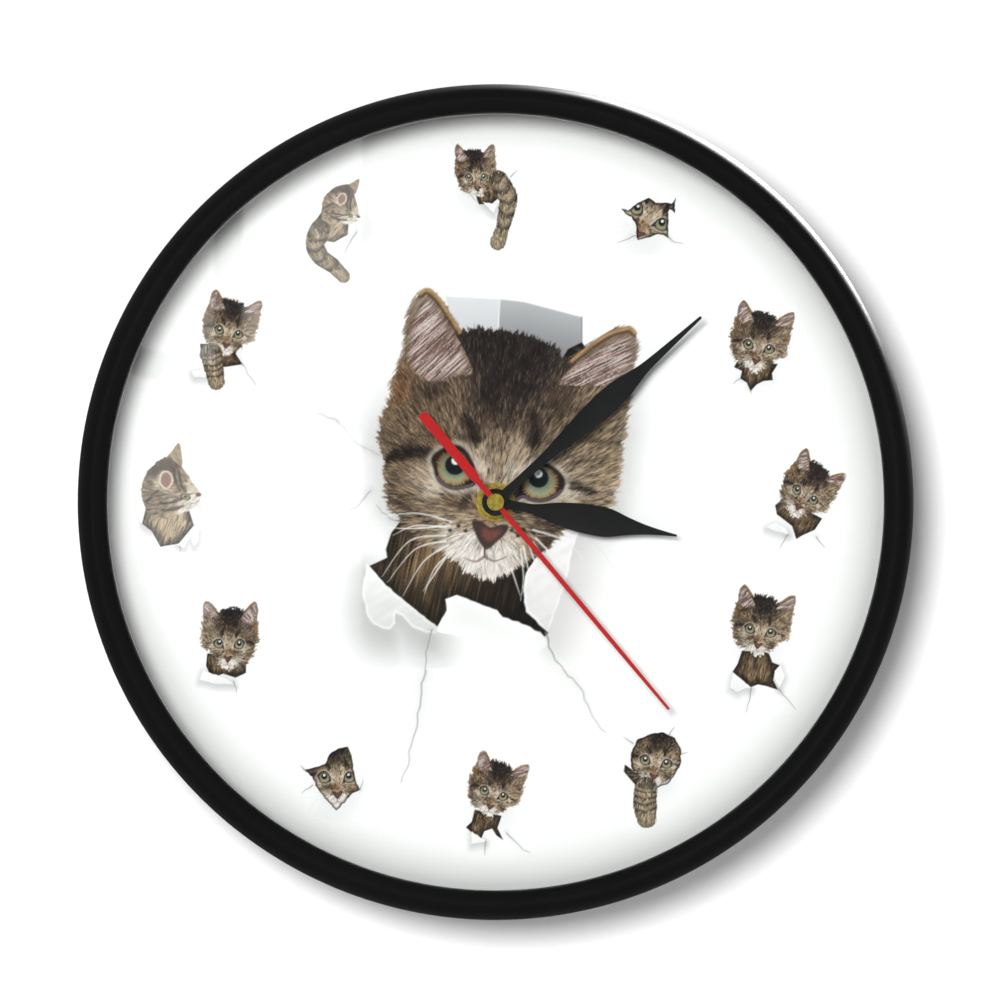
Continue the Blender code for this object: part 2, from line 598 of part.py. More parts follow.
    bridge_rear = case_inside - BRIDGE_DROP - BRIDGE_THICKNESS
    rod("second_arbor", hand_axis, SECOND_ARBOR, bridge_rear, second_arbor_front, PIN_STEPS, STEEL)

    rotor_rear = movement_rear + COVER_PLATE / 2.0
    rotor_front = second_front - THIN_WHEEL + WHEEL_THICKNESS
    arbor = rod("rotor_pinion", rotor_axis, PIVOT_RADIUS, rotor_rear, rotor_front, PIN_STEPS, STEEL)
    join(arbor, plate("rotor_leaves", gear_outline(ROTOR_TEETH, fifth_module, rotor_phase, rotor_axis),
                      fifth_front - THIN_WHEEL - overlap, fifth_front + overlap, STEEL))
    magnet_middle = case_inside - STATOR_DROP - STATOR_THICKNESS / 2.0
    tube("rotor_magnet", rotor_axis, PIVOT_RADIUS + PRESS_GAP, ROTOR_RADIUS,
         magnet_middle - ROTOR_THICKNESS / 2.0, magnet_middle + ROTOR_THICKNESS / 2.0,
         SHAFT_STEPS, DARK_STEEL)

    leaves_rear = minute_front - WHEEL_THICKNESS - overlap
    stem = plate("setting_stem", gear_outline(SETTING_TEETH, cannon_module, setting_phase, setting_axis),
                 leaves_rear, minute_front + overlap, BRASS)
    stem_rear = COVER_RECESS + KNOB_FACE
    step = minute_front - WHEEL_THICKNESS / 2.0
    profile = [(0.0, stem_rear), (STEM_RADIUS, stem_rear), (STEM_RADIUS, step), (PIN_RADIUS, step),
               (PIN_RADIUS, case_inside - HOUR_WHEEL_DROP), (0.0, case_inside - HOUR_WHEEL_DROP)]
    join(stem, turned("setting_shaft", profile, PIN_STEPS, BRASS, setting_axis))


def make_knob():
    rim = []
    steps = KNOB_FLUTES * 4
    for i in range(steps):
        depth = KNOB_FLUTE_DEPTH if i % 4 >= 2 else 0.0
        rim.append(beside(setting_axis, KNOB_RADIUS - depth, 2.0 * math.pi * i / steps))
    knob = plate("setting_knob", rim, COVER_RECESS, COVER_RECESS + KNOB_HEIGHT, GREEN_PLASTIC)
    cut(knob, rod("knob_bore", setting_axis, STEM_RADIUS + PRESS_GAP, COVER_RECESS + KNOB_FACE - TOUCH_GAP,
                  COVER_RECESS + KNOB_HEIGHT + CUT_SPARE, PIN_STEPS, GREEN_PLASTIC))


def make_movement_case():
    half = movement_half
    case = block("movement_case", (-half, half), (movement_bottom, half), movement_rear, movement_front,
                 GREY_PLASTIC)
    behind = movement_rear - CUT_SPARE
    chamber = block("wheel_chamber", (-chamber_half, chamber_half), (chamber_bottom, chamber_half), behind,
                    case_inside, GREY_PLASTIC)
    cut(case, chamber)
    bay = block("battery_bay", (-bay_half, bay_half), (bay_bottom, bay_top),
                behind, movement_front - BAY_FLOOR, GREY_PLASTIC)
    cut(case, bay)
    hole = rod("bushing_hole", hand_axis, BUSHING_OUTER + PRESS_GAP * 2.0, case_inside - CUT_SPARE,
               movement_front + CUT_SPARE, SHAFT_STEPS, GREY_PLASTIC)
    cut(case, hole)
    wall_middle = movement_front - CASE_FRONT / 2.0
    bridge_front = case_inside - BRIDGE_DROP
    screw_end = bridge_front - BRIDGE_THICKNESS - TOUCH_GAP + BRIDGE_SCREW_LENGTH
    for number, place in enumerate(bridge_posts, 1):
        join(case, rod(f"bridge_post_{number}", place, BRIDGE_POST_RADIUS, bridge_front + TOUCH_GAP,
                       wall_middle, PIN_STEPS, GREY_PLASTIC))
        cut(case, rod(f"bridge_post_hole_{number}", place, BRIDGE_HOLE, bridge_front - CUT_SPARE,
                      screw_end + BRIDGE_HOLE_SPARE, PIN_STEPS, GREY_PLASTIC))
    minute_pin_rear = case_inside - MINUTE_WHEEL_DROP - WHEEL_THICKNESS - TOUCH_GAP
    join(case, rod("minute_wheel_pin", minute_wheel_axis, PIN_RADIUS, minute_pin_rear, wall_middle,
                   PIN_STEPS, GREY_PLASTIC))
    rotor_boss_rear = case_inside - SECOND_WHEEL_DROP - THIN_WHEEL
    join(case, rod("rotor_boss", rotor_axis, BOSS_RADIUS, rotor_boss_rear, wall_middle, PIN_STEPS,
                   GREY_PLASTIC))
    cut(case, rod("rotor_pivot_hole", rotor_axis, PIVOT_RADIUS + RUNNING_GAP, rotor_boss_rear - CUT_SPARE,
                  rotor_boss_rear + WHEEL_THICKNESS + TOUCH_GAP, PIN_STEPS, GREY_PLASTIC))
    stem_boss_rear = case_inside - MINUTE_WHEEL_DROP + TOUCH_GAP * 2.0
    join(case, rod("stem_boss", setting_axis, STEM_BOSS_RADIUS, stem_boss_rear, wall_middle,
                   PIN_STEPS, GREY_PLASTIC))
    cut(case, rod("stem_pivot_hole", setting_axis, PIN_RADIUS + RUNNING_GAP, stem_boss_rear - CUT_SPARE,
                  case_inside - HOUR_WHEEL_DROP + TOUCH_GAP, PIN_STEPS, GREY_PLASTIC))


def make_movement_cover():
    half = chamber_half - TOUCH_GAP
    bottom = chamber_bottom + TOUCH_GAP
    stem_hole = circle(setting_axis, STEM_RADIUS + TOUCH_GAP, PIN_STEPS)
    cover = plate("movement_cover", rectangle((-half, half), (bottom, half)), movement_rear,
                  movement_rear + COVER_PLATE, GREY_PLASTIC, [stem_hole])
    boss_front = movement_rear + COVER_PLATE + TOUCH_GAP
    join(cover, rod("rotor_rear_boss", rotor_axis, BOSS_RADIUS, movement_rear + COVER_PLATE / 2.0,
                    boss_front, PIN_STEPS, GREY_PLASTIC))
    cut(cover, rod("rotor_rear_hole", rotor_axis, PIVOT_RADIUS + RUNNING_GAP,
                   movement_rear + COVER_PLATE / 2.0 - TOUCH_GAP, boss_front + CUT_SPARE,
                   PIN_STEPS, GREY_PLASTIC))


def make_bridge():
    front = case_inside - BRIDGE_DROP
    rear = front - BRIDGE_THICKNESS
    left = bridge_posts[0][0] - BRIDGE_POST_RADIUS
    right = bridge_posts[1][0] + BRIDGE_POST_RADIUS
    bottom = chamber_bottom + TOUCH_GAP * 2.0
    top = rotor_axis[1] + ROTOR_RADIUS
    holes = [circle(hand_axis, SECOND_ARBOR + RUNNING_GAP, PIN_STEPS),
             circle(rotor_axis, PIVOT_RADIUS + TOUCH_GAP * 2.0, PIN_STEPS)]
    holes += [circle(place, BRIDGE_HOLE, PIN_STEPS) for place in bridge_posts]
    bridge = plate("wheel_bridge", rectangle((left, right), (bottom, top)), rear, front, GREY_PLASTIC, holes)
    inside = (rear + front) / 2.0
    third_rear = case_inside - THIRD_WHEEL_DROP - THIN_WHEEL
    join(bridge, rod("third_collar", third_axis, COLLAR_RADIUS, inside, third_rear - TOUCH_GAP,
                     PIN_STEPS, GREY_PLASTIC))
    join(bridge, rod("third_pin", third_axis, PIN_RADIUS, front, case_inside - CENTRE_WHEEL_DROP + TOUCH_GAP,
                     PIN_STEPS, GREY_PLASTIC))
    join(bridge, rod("fifth_pin", fifth_axis, PIN_RADIUS, inside, case_inside - SECOND_WHEEL_DROP + TOUCH_GAP,
                     PIN_STEPS, GREY_PLASTIC))
    for number, place in enumerate(bridge_posts, 1):
        make_bridge_screw(f"bridge_screw_{number}", place, rear - TOUCH_GAP)


def make_bridge_screw(name, place, seat):
    end = seat + BRIDGE_SCREW_LENGTH
    profile = [(0.0, seat - SCREW_HEAD_HEIGHT), (BRIDGE_SCREW_HEAD, seat - SCREW_HEAD_HEIGHT),
               (BRIDGE_SCREW_HEAD, seat), (BRIDGE_SCREW_SHANK, seat), (BRIDGE_SCREW_SHANK, end), (0.0, end)]
    turned(name, profile, PIN_STEPS, STEEL, place)


def make_motor():
    stator_front = case_inside - STATOR_DROP
    stator_rear = stator_front - STATOR_THICKNESS
    right = chamber_half - COIL_MARGIN
    left = right - 2.0 * CORE_HALF_LENGTH
    top = coil_height + CORE_HALF_WIDTH
    bottom = rotor_axis[1] - STATOR_BORE - CORE_HALF_WIDTH
    saddle = rotor_axis[1] + STATOR_BORE + CORE_HALF_WIDTH / 2.0
    outline = [(left, bottom), (right, bottom), (right, top), (right - CORE_FOOT, top),
               (right - CORE_FOOT, saddle), (left + CORE_FOOT, saddle), (left + CORE_FOOT, top), (left, top)]
    plate("stator", outline, stator_rear, stator_front, STEEL, [circle(rotor_axis, STATOR_BORE, SHAFT_STEPS)])
    coil_ahead = case_inside - COIL_AXIS_DROP
    core_z = (coil_height - CORE_HALF_WIDTH, coil_height + CORE_HALF_WIDTH)
    core = block("coil_core", (left, right), core_z, coil_ahead - CORE_HALF_THICKNESS,
                 coil_ahead + CORE_HALF_THICKNESS, DARK_STEEL)
    for number, x_range in ((1, (left, left + CORE_FOOT)), (2, (right - CORE_FOOT, right))):
        join(core, block(f"core_foot_{number}", x_range, core_z, stator_front + TOUCH_GAP,
                         coil_ahead, DARK_STEEL))
    half = BOBBIN_HALF_LENGTH
    inner = half - FLANGE_THICKNESS
    bobbin = turned("coil_bobbin", [(BOBBIN_INNER, -half), (BOBBIN_FLANGE, -half), (BOBBIN_FLANGE, -inner),
                                    (BOBBIN_OUTER, -inner), (BOBBIN_OUTER, inner), (BOBBIN_FLANGE, inner),
                                    (BOBBIN_FLANGE, half), (BOBBIN_INNER, half)], SHAFT_STEPS, WHITE_PLASTIC)
    winding = tube("coil_winding", hand_axis, BOBBIN_OUTER + PRESS_GAP, WINDING_RADIUS,
                   PRESS_GAP - inner, inner - PRESS_GAP, SHAFT_STEPS, COPPER)
    for item in (bobbin, winding):
        centre_on_origin(item)
        lay_along_x(item, ((left + right) / 2.0, coil_height), coil_ahead)


def centre_on_origin(item):
    """A piece spun around the wall plane moves to the origin, ready to be placed."""
    for corner in item.data.vertices:
        corner.co.y -= y_at(0.0)


def make_circuit():
    front = case_inside - BRIDGE_DROP
    rear = front - BOARD_THICKNESS
    left = BOARD_MARGIN - chamber_half
    top = chamber_half - BOARD_MARGIN
    middle = top - BOARD_HEIGHT / 2.0
    block("circuit_board", (left, left + BOARD_LENGTH), (top - BOARD_HEIGHT, top), rear, front, CIRCUIT)
    chip_rear = front + TOUCH_GAP
    chip_middle = left + CHIP_ALONG
    block("control_chip", (chip_middle - CHIP_HALF, chip_middle + CHIP_HALF),
          (middle - CHIP_HALF, middle + CHIP_HALF), chip_rear, chip_rear + CHIP_THICKNESS, BLACK_PLASTIC)
    crystal = rod("quartz_crystal", hand_axis, CRYSTAL_RADIUS, -CRYSTAL_HALF_LENGTH, CRYSTAL_HALF_LENGTH,
                  PIN_STEPS, STEEL)
    centre_on_origin(crystal)
    lay_along_x(crystal, (left + CRYSTAL_ALONG, middle), front + TOUCH_GAP + CRYSTAL_RADIUS)


def make_battery():
    bay_middle = (bay_bottom + bay_top) / 2.0
    ahead = movement_front - BAY_FLOOR - TOUCH_GAP - CELL_RADIUS
    half = CELL_LENGTH / 2.0
    bevel = 0.5 * MM
    profile = [(0.0, -half), (CELL_RADIUS - bevel, -half), (CELL_RADIUS, bevel - half),
               (CELL_RADIUS, half - bevel), (CELL_RADIUS - bevel, half), (CELL_NUB_RADIUS, half),
               (CELL_NUB_RADIUS, half + CELL_NUB_LENGTH), (0.0, half + CELL_NUB_LENGTH)]
    cell = turned("battery_cell", profile, SHAFT_STEPS, GREEN_PLASTIC)
    centre_on_origin(cell)
    lay_along_x(cell, (CELL_SHIFT - CELL_NUB_LENGTH / 2.0, bay_middle), ahead)
    end = contact_end
    levels = (ahead - CONTACT_HALF_HEIGHT, ahead + CONTACT_HALF_HEIGHT)
    z_range = (bay_middle - CONTACT_HALF_HEIGHT, bay_middle + CONTACT_HALF_HEIGHT)
    block("contact_positive", (end - CONTACT_THICKNESS, end), z_range, *levels, STEEL)
    spring = [(-end, z_range[0]), (CONTACT_THICKNESS - end, z_range[0]),
              (CONTACT_THICKNESS - end + SPRING_RISE, bay_middle), (CONTACT_THICKNESS - end, z_range[1]),
              (-end, z_range[1]), (SPRING_RISE - end, bay_middle)]
    plate("contact_negative", spring, *levels, STEEL)


def make_bushing():
    flangeless_rear = case_inside + PRESS_GAP
    tube("threaded_bushing", hand_axis, bushing_bore, BUSHING_OUTER, flangeless_rear, bushing_front,
         SHAFT_STEPS, BRASS)
    hole = BUSHING_OUTER + PRESS_GAP + RUNNING_GAP
    tube("rubber_washer", hand_axis, hole, RUBBER_RADIUS, rubber_rear, rubber_rear + WASHER_THICKNESS,
         SHAFT_STEPS, RUBBER)
    tube("brass_washer", hand_axis, hole, WASHER_RADIUS, washer_rear, washer_rear + WASHER_THICKNESS,
         SHAFT_STEPS, BRASS)
    tube("bushing_nut", hand_axis, hole, NUT_RADIUS, nut_rear, nut_rear + NUT_THICKNESS, SHAFT_STEPS, BRASS)


def hand_outline(angle, boss, stations, tail=()):
    """Right side down from the tip, around the boss, along the tail, and back up the left side."""
    blade = [(along * MM, half * MM) for along, half in stations]
    rear = [(along * MM, half * MM) for along, half in tail]
    start = math.asin(blade[0][1] / boss)
    end = math.pi - (math.asin(rear[0][1] / boss) if rear else 0.0)
    arc_steps = 8
    side = list(reversed(blade))
    for i in range(arc_steps + 1):
        turn = start + (end - start) * i / arc_steps
        side.append((boss * math.cos(turn), boss * math.sin(turn)))
    side += [(-along, half) for along, half in rear]
    other = [(along, -half) for along, half in reversed(side)]
    if not rear:
        other = other[1:]
    points = []
    for along, across in side + other:
        points.append((along * math.sin(angle) + across * math.cos(angle),
                       along * math.cos(angle) - across * math.sin(angle)))
    return points


def make_hands():
    hour_hole = HOUR_PIPE_OUTER + PRESS_GAP
    minute_hole = MINUTE_PIPE_OUTER + PRESS_GAP
    second_hole = SECOND_ARBOR + PRESS_GAP
    plate("hour_hand", hand_outline(HOUR_ANGLE, HOUR_BOSS, HOUR_STATIONS), hour_hand_rear,
          hour_hand_rear + HAND_THICKNESS, BLACK_PAINT, [circle(hand_axis, hour_hole, SHAFT_STEPS)])
    plate("minute_hand", hand_outline(MINUTE_ANGLE, MINUTE_BOSS, MINUTE_STATIONS), minute_hand_rear,
          minute_hand_rear + HAND_THICKNESS, BLACK_PAINT, [circle(hand_axis, minute_hole, SHAFT_STEPS)])
    plate("second_hand", hand_outline(SECOND_ANGLE, SECOND_BOSS, SECOND_STATIONS, SECOND_TAIL),
          second_hand_rear, second_hand_rear + HAND_THICKNESS, RED_PAINT,
          [circle(hand_axis, second_hole, PIN_STEPS)])
    tube("hour_collet", hand_axis, hour_hole, hour_hole + COLLET_WIDTH, hour_collet_rear,
         hour_collet_rear + COLLET_HEIGHT, SHAFT_STEPS, BRASS)
    tube("minute_collet", hand_axis, minute_hole, minute_hole + COLLET_WIDTH, minute_collet_rear,
         minute_collet_rear + COLLET_HEIGHT, SHAFT_STEPS, BRASS)
    rim_drop = CAP_HEIGHT / 3.0
    profile = [(0.0, cap_rear), (CAP_RADIUS, cap_rear), (CAP_RADIUS, cap_rear + CAP_HEIGHT - rim_drop),
               (CAP_RADIUS - rim_drop, cap_rear + CAP_HEIGHT), (0.0, cap_rear + CAP_HEIGHT)]
    turned("second_hand_cap", profile, SHAFT_STEPS, BRASS)


def main():
    for item in list(bpy.data.objects):
        bpy.data.objects.remove(item, do_unlink=True)
    make_frame()
    make_glass_and_dial()
    make_rear_cover()
    make_hanger()
    make_movement_case()
    make_movement_cover()
    make_bridge()
    make_train()
    make_knob()
    make_motor()
    make_circuit()
    make_battery()
    make_bushing()
    make_hands()


main()
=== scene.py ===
# Round wall clock with a kitten dial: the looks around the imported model. Metres, the dial faces -Y.
import math

import bmesh
import bpy
import numpy as np
from mathutils import Matrix, Vector


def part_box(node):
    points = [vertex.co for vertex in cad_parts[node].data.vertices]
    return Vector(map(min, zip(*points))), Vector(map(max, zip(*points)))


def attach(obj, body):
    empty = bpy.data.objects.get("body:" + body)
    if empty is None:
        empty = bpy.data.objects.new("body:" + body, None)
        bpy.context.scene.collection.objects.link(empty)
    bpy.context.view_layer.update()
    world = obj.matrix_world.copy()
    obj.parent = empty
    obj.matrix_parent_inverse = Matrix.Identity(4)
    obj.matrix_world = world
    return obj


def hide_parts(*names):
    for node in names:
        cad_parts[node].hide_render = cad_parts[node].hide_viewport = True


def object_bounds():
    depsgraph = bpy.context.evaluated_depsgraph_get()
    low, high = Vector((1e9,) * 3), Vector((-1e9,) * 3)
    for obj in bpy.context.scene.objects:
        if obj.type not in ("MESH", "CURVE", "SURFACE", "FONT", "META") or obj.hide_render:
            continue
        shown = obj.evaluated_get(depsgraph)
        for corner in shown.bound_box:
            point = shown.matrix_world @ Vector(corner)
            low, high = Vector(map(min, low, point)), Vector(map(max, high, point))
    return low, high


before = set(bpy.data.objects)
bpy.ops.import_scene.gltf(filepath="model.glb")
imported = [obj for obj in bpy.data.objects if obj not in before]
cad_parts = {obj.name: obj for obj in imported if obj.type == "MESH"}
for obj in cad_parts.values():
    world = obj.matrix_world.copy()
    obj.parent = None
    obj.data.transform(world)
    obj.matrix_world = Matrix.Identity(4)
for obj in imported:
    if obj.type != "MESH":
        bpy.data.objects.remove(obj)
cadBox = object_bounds()
mm = 0.001


print("frame loaded")

# the dial's drawings are made in millimetres, x to the right and z up

paper = (249.0, 249.0, 249.0)


def makeCanvas(xRange, zRange, cell, place=(0.0, 0.0), size=1.0, tilt=0.0, stretch=1.0):
    # u and v are the drawing's millimetres: a small kitten is the big drawing scaled, tilted and squeezed
    columns = int(round((xRange[1] - xRange[0]) / cell)) + 1
    rows = int(round((zRange[1] - zRange[0]) / cell)) + 1
    x, z = np.meshgrid(np.linspace(*xRange, columns), np.linspace(*zRange, rows))
    turn = math.radians(tilt)
    dx, dz = (x - place[0]) / size, (z - place[1]) / size
    u = (dx * math.cos(turn) + dz * math.sin(turn)) / stretch
    v = dz * math.cos(turn) - dx * math.sin(turn)
    return dict(x=x, z=z, u=u, v=v, turn=turn, stretch=stretch, cell=cell / size,
                rgb=np.full(x.shape + (3,), paper[0]))


def onPaper(canvas, place=(0.0, 0.0)):
    # the same picture, drawn on in upright millimetres measured from a place on the dial
    cell = canvas["x"][0, 1] - canvas["x"][0, 0]
    return dict(canvas, u=canvas["x"] - place[0], v=canvas["z"] - place[1], turn=0.0, stretch=1.0, cell=cell)


def curveThrough(points, closed=True, detail=5):
    p = np.array(points, float)
    if closed:
        before, after, beyond = np.roll(p, 1, 0), np.roll(p, -1, 0), np.roll(p, -2, 0)
    else:
        before, after, beyond = np.vstack([p[:1], p[:-2]]), p[1:], np.vstack([p[2:], p[-1:]])
        p = p[:-1]
    t = (np.arange(detail) / detail)[None, :, None]
    a, b, c, d = before[:, None], p[:, None], after[:, None], beyond[:, None]
    path = 0.5 * (2 * b + (c - a) * t + (2 * a - 5 * b + 4 * c - d) * t**2 + (3 * b - a - 3 * c + d) * t**3)
    path = path.reshape(-1, 2)
    return path if closed else np.vstack([path, np.array(points[-1:], float)])


def raggedLine(points, seed, step=1.2, size=0.6):
    # a torn edge: the line's points with small random corners between them
    rng = np.random.default_rng(seed)
    torn = []
    for a, b in zip(points, points[1:]):
        a, b = np.array(a, float), np.array(b, float)
        count = max(1, int(np.hypot(*(b - a)) / step))
        for k in range(count):
            torn.append(a + (b - a) * k / count + (rng.normal(0, size, 2) * 0.5 if k else 0))
    return np.array(torn + [np.array(points[-1], float)])


def pathDistance(canvas, path, closed, reach):
    # distance to a path, how far along it the nearest point is, and which cells lie inside it
    shape = canvas["u"].shape
    near = ((canvas["u"] > path[:, 0].min() - reach) & (canvas["u"] < path[:, 0].max() + reach)
            & (canvas["v"] > path[:, 1].min() - reach) & (canvas["v"] < path[:, 1].max() + reach))
    u, v = canvas["u"][near], canvas["v"][near]
    best, where, odd = np.full(u.shape, float(reach)), np.zeros(u.shape), np.zeros(u.shape, bool)
    ends = np.roll(path, -1, 0) if closed else path[1:]
    for i, (a, b) in enumerate(zip(path, ends)):
        step = b - a
        t = np.clip(((u - a[0]) * step[0] + (v - a[1]) * step[1]) / max(step @ step, 1e-9), 0, 1)
        d = np.hypot(u - a[0] - t * step[0], v - a[1] - t * step[1])
        closer = d < best
        best[closer], where[closer] = d[closer], (i + t[closer]) / len(ends)
        if closed and step[1] != 0:
            crosses = (a[1] > v) != (b[1] > v)
            odd ^= crosses & (u < a[0] + (v - a[1]) / step[1] * step[0])
    distance, along, inside = np.full(shape, float(reach)), np.zeros(shape), np.zeros(shape, bool)
    distance[near], along[near], inside[near] = best, where, odd
    return distance, along, inside


def depthInside(canvas, points, reach=4.0, rounded=True):
    path = curveThrough(points) if rounded else np.array(points, float)
    distance, _, inside = pathDistance(canvas, path, True, reach)
    return np.where(inside, distance, -distance)


def soft(depth, width):
    t = np.clip(depth / width + 0.5, 0, 1)
    return t * t * (3 - 2 * t)


def cover(canvas, mask, colour):
    canvas["rgb"] += (np.asarray(colour, float) - canvas["rgb"]) * mask[..., None]


def darken(canvas, mask, amount):
    canvas["rgb"] *= (1 - amount * mask)[..., None]


def streaks(canvas, flowU, flowV, length, seed, grain=1):
    # hair: random dots smeared along the flow, with mean 0 and deviation 1
    rows, columns = canvas["u"].shape
    rng = np.random.default_rng(seed)
    dots = rng.standard_normal((rows // grain + 2, columns // grain + 2))
    c, s = math.cos(canvas["turn"]), math.sin(canvas["turn"])
    acrossPaper = flowU * canvas["stretch"] * c - flowV * s
    upPaper = flowU * canvas["stretch"] * s + flowV * c
    size = np.hypot(acrossPaper, upPaper) + 1e-6
    row, column = np.mgrid[0:rows, 0:columns].astype(float)
    reach = max(1, int(round(length / canvas["cell"])))
    total = 0
    for k in range(-reach, reach + 1):
        i = np.clip(np.rint((row + k * upPaper / size) / grain).astype(int), 0, dots.shape[0] - 1)
        j = np.clip(np.rint((column + k * acrossPaper / size) / grain).astype(int), 0, dots.shape[1] - 1)
        total = total + dots[i, j] * math.cos(k / (reach + 1) * math.pi / 2)
    return (total - total.mean()) / total.std()


def drawLine(canvas, points, width, colour, strength=1.0, taper=0.75, curved=True):
    path = curveThrough(points, False, 10) if curved else np.array(points, float)
    distance, along, _ = pathDistance(canvas, path, False, 2.0 + width)
    half = width * (1 - taper * along) / 2
    edge = max(canvas["cell"], 0.2)
    cover(canvas, strength * np.clip((half - distance) / edge + 0.5, 0, 1), colour)


# the kitten's head, millimetres from the point between eyes and nose
headOutline = [(-34, 51), (-37, 42), (-39.5, 35), (-42, 28), (-42.5, 23), (-41, 17), (-40.5, 11),
               (-40, 4.5), (-39, -1), (-34.5, -7), (-31.5, -13), (-24, -16), (-17, -20), (-12, -24),
               (-7.5, -27), (-2, -28), (4, -26), (9, -23), (13.5, -20), (18, -17.5), (22, -14), (25.5, -9),
               (33.5, -5.5), (41, -3), (43.5, 3), (45, 10), (45.5, 17), (47, 26), (48, 35), (46.5, 45),
               (26, 51), (22, 56), (14.5, 59.5), (6, 61.5), (-7, 63), (-12, 61.5), (-20, 57.5)]
leftEar = dict(
    outer=[(-24, 76.5), (-28.5, 74), (-31.5, 69), (-33, 62), (-33.5, 55), (-36, 48), (-38, 40), (-29, 35),
           (-18, 35), (-8, 38.5), (-5.5, 43), (-6, 49), (-9, 55.5), (-12.5, 62), (-16.5, 68), (-20.5, 73.5)],
    inner=[(-24.5, 73.5), (-27.5, 70.5), (-30.5, 64.5), (-31.5, 57.5), (-31, 50.5), (-26.5, 43.5),
           (-20.5, 43), (-13.5, 45.5), (-8.5, 46.5), (-11.5, 54), (-16, 62), (-20.5, 69.5)],
    rim=[(-27, 75), (-24.5, 76.3), (-20.5, 73), (-16.5, 67), (-12.5, 60.5), (-9, 54), (-6.5, 48), (-6, 43.5)],
    flow=(0.6, 0.75), coat=(118, 102, 84))
rightEar = dict(
    outer=[(47.5, 63), (42, 62), (36, 58.5), (30, 54), (24, 48.5), (19.5, 43), (19, 39), (23, 33),
           (32, 31.5), (44, 33), (48, 38.5), (49, 45.5), (51, 52.5), (51.5, 57), (50, 61)],
    inner=[(47, 60.5), (41.5, 58.5), (34.5, 54), (27.5, 48.5), (23, 43.5), (25, 39.5), (32, 36.5),
           (40.5, 39), (46.5, 45.5), (49.5, 50.5), (50, 56.5), (49, 59)],
    rim=[(50, 61), (48, 62.5), (42, 61), (36, 57.5), (30, 53), (24.5, 48), (20, 42.5)],
    flow=(0.85, 0.5), coat=(130, 116, 100))
eyes = [dict(outline=[(-22, 16), (-17, 19.3), (-12.5, 19), (-9, 14), (-7.7, 7.6), (-11.7, 5.7), (-16, 5.5),
                      (-20, 8), (-21.5, 12.5)],
             middle=(-14.9, 12.3), pupil=(-14.6, 13.3), light=(-14.4, 14.9)),
        dict(outline=[(7, 1.5), (9.5, 6.3), (11.5, 10.6), (16.2, 13.4), (21, 11.5), (24, 7.6), (22.7, 3.7),
                      (18.3, 1.2), (13.6, 1), (10, 2.4)],
             middle=(15.9, 7.2), pupil=(15.5, 8.7), light=(15.4, 10.2))]
nose = [(-8.5, -7), (-5, -7), (-1.7, -9.2), (2.3, -8), (4.7, -8.7), (3.3, -11.6), (0.5, -14.2), (-3, -17),
        (-5, -15.5), (-7, -12)]
noseLeather = [(-4.7, -9), (-2, -10.2), (1.4, -9.8), (1.8, -11.3), (-1.2, -13.7), (-3.4, -13.9), (-5, -11.6)]
whiskers = [[(-16, -7), (-29, -4), (-46, -6)], [(-18, -9), (-29, -8.5), (-37, -12)],
            [(-18, -12), (-31, -14), (-41, -27)], [(-18, -14), (-29, -17), (-39, -29)],
            [(-17, -15.5), (-26, -21.5), (-33.5, -34)], [(-15, -17), (-22, -24), (-25.5, -33)],
            [(-16.5, -8.5), (-33, -9.5), (-50, -7.5)], [(-18, -20), (-23, -27.5), (-26, -32)],
            [(13.5, -10), (25, -14), (32, -21.5)], [(13.5, -14.5), (19.5, -24), (23, -36)],
            [(12, -15.5), (16, -27), (18, -36)], [(10, -16), (12.5, -27.5), (14.5, -35.5)],
            [(9, -17), (10, -27), (9, -35.5)], [(14.5, -13), (21.5, -20), (27.5, -25)],
            [(5.7, -24), (7.5, -29.5), (9, -34)], [(14.5, -12), (36, -15.5), (50, -39)]]
whiskerRoots = [(-17.3, -7), (-13.4, -8.5), (-16.4, -10.2), (-10.8, -10.4), (-18.6, -8.5), (8, -12.2),
                (10, -9.8), (13.6, -11), (5.7, -10.2)]
# each stripe: its path, its width and how dark it is
stripes = [([(-39.5, 15), (-34.5, 17.5), (-28, 18.3), (-21.7, 17.7)], 3.6, 0.85),
           ([(-37, 10.5), (-31, 7), (-25, 4)], 1.2, 0.35),
           ([(22.5, 9.2), (27.5, 6.2), (36, 3.2)], 2.6, 0.75),
           ([(25.7, 12.6), (32.7, 15), (40.5, 15.6)], 1.6, 0.4),
           ([(-11.7, 31.5), (-8.2, 26.3), (-6.6, 20.6)], 3.0, 0.75),
           ([(13.2, 32.5), (14.4, 26.5), (13.4, 18)], 3.4, 0.75),
           ([(-8.4, 6), (-10.4, 1.5), (-12.6, -2.6)], 2.6, 0.6),
           ([(6.5, 1.6), (6.8, -1.6), (8.2, -5.2)], 2.2, 0.6),
           ([(-2, 44), (-1.2, 36), (1.2, 27)], 2.2, 0.5),
           ([(6.4, 46), (6.6, 37), (5.2, 29)], 2.0, 0.5),
           ([(-38, 1.5), (-32, -2), (-26, -5.5)], 1.6, 0.45),
           ([(-34, 21.5), (-28, 23.5), (-22, 24)], 1.6, 0.35),
           ([(33, 22.5), (39, 22), (44.5, 21)], 1.6, 0.35),
           ([(13, -6), (18.5, -8.5), (24, -9.5)], 1.3, 0.5),
           ([(12.4, -8.8), (17, -11.6), (21, -13.4)], 1.3, 0.5),
           ([(-2.2, 3.5), (-3.6, 0.5), (-5.2, -3)], 1.0, 0.3)]
furTones = dict(
    soot=(44, 38, 37), umber=(84, 71, 60), rust=(136, 104, 76), bark=(116, 100, 82), hazel=(132, 117, 99),
    oat=(152, 136, 115), sand=(174, 158, 139), cream=(202, 192, 178), milk=(226, 221, 216))
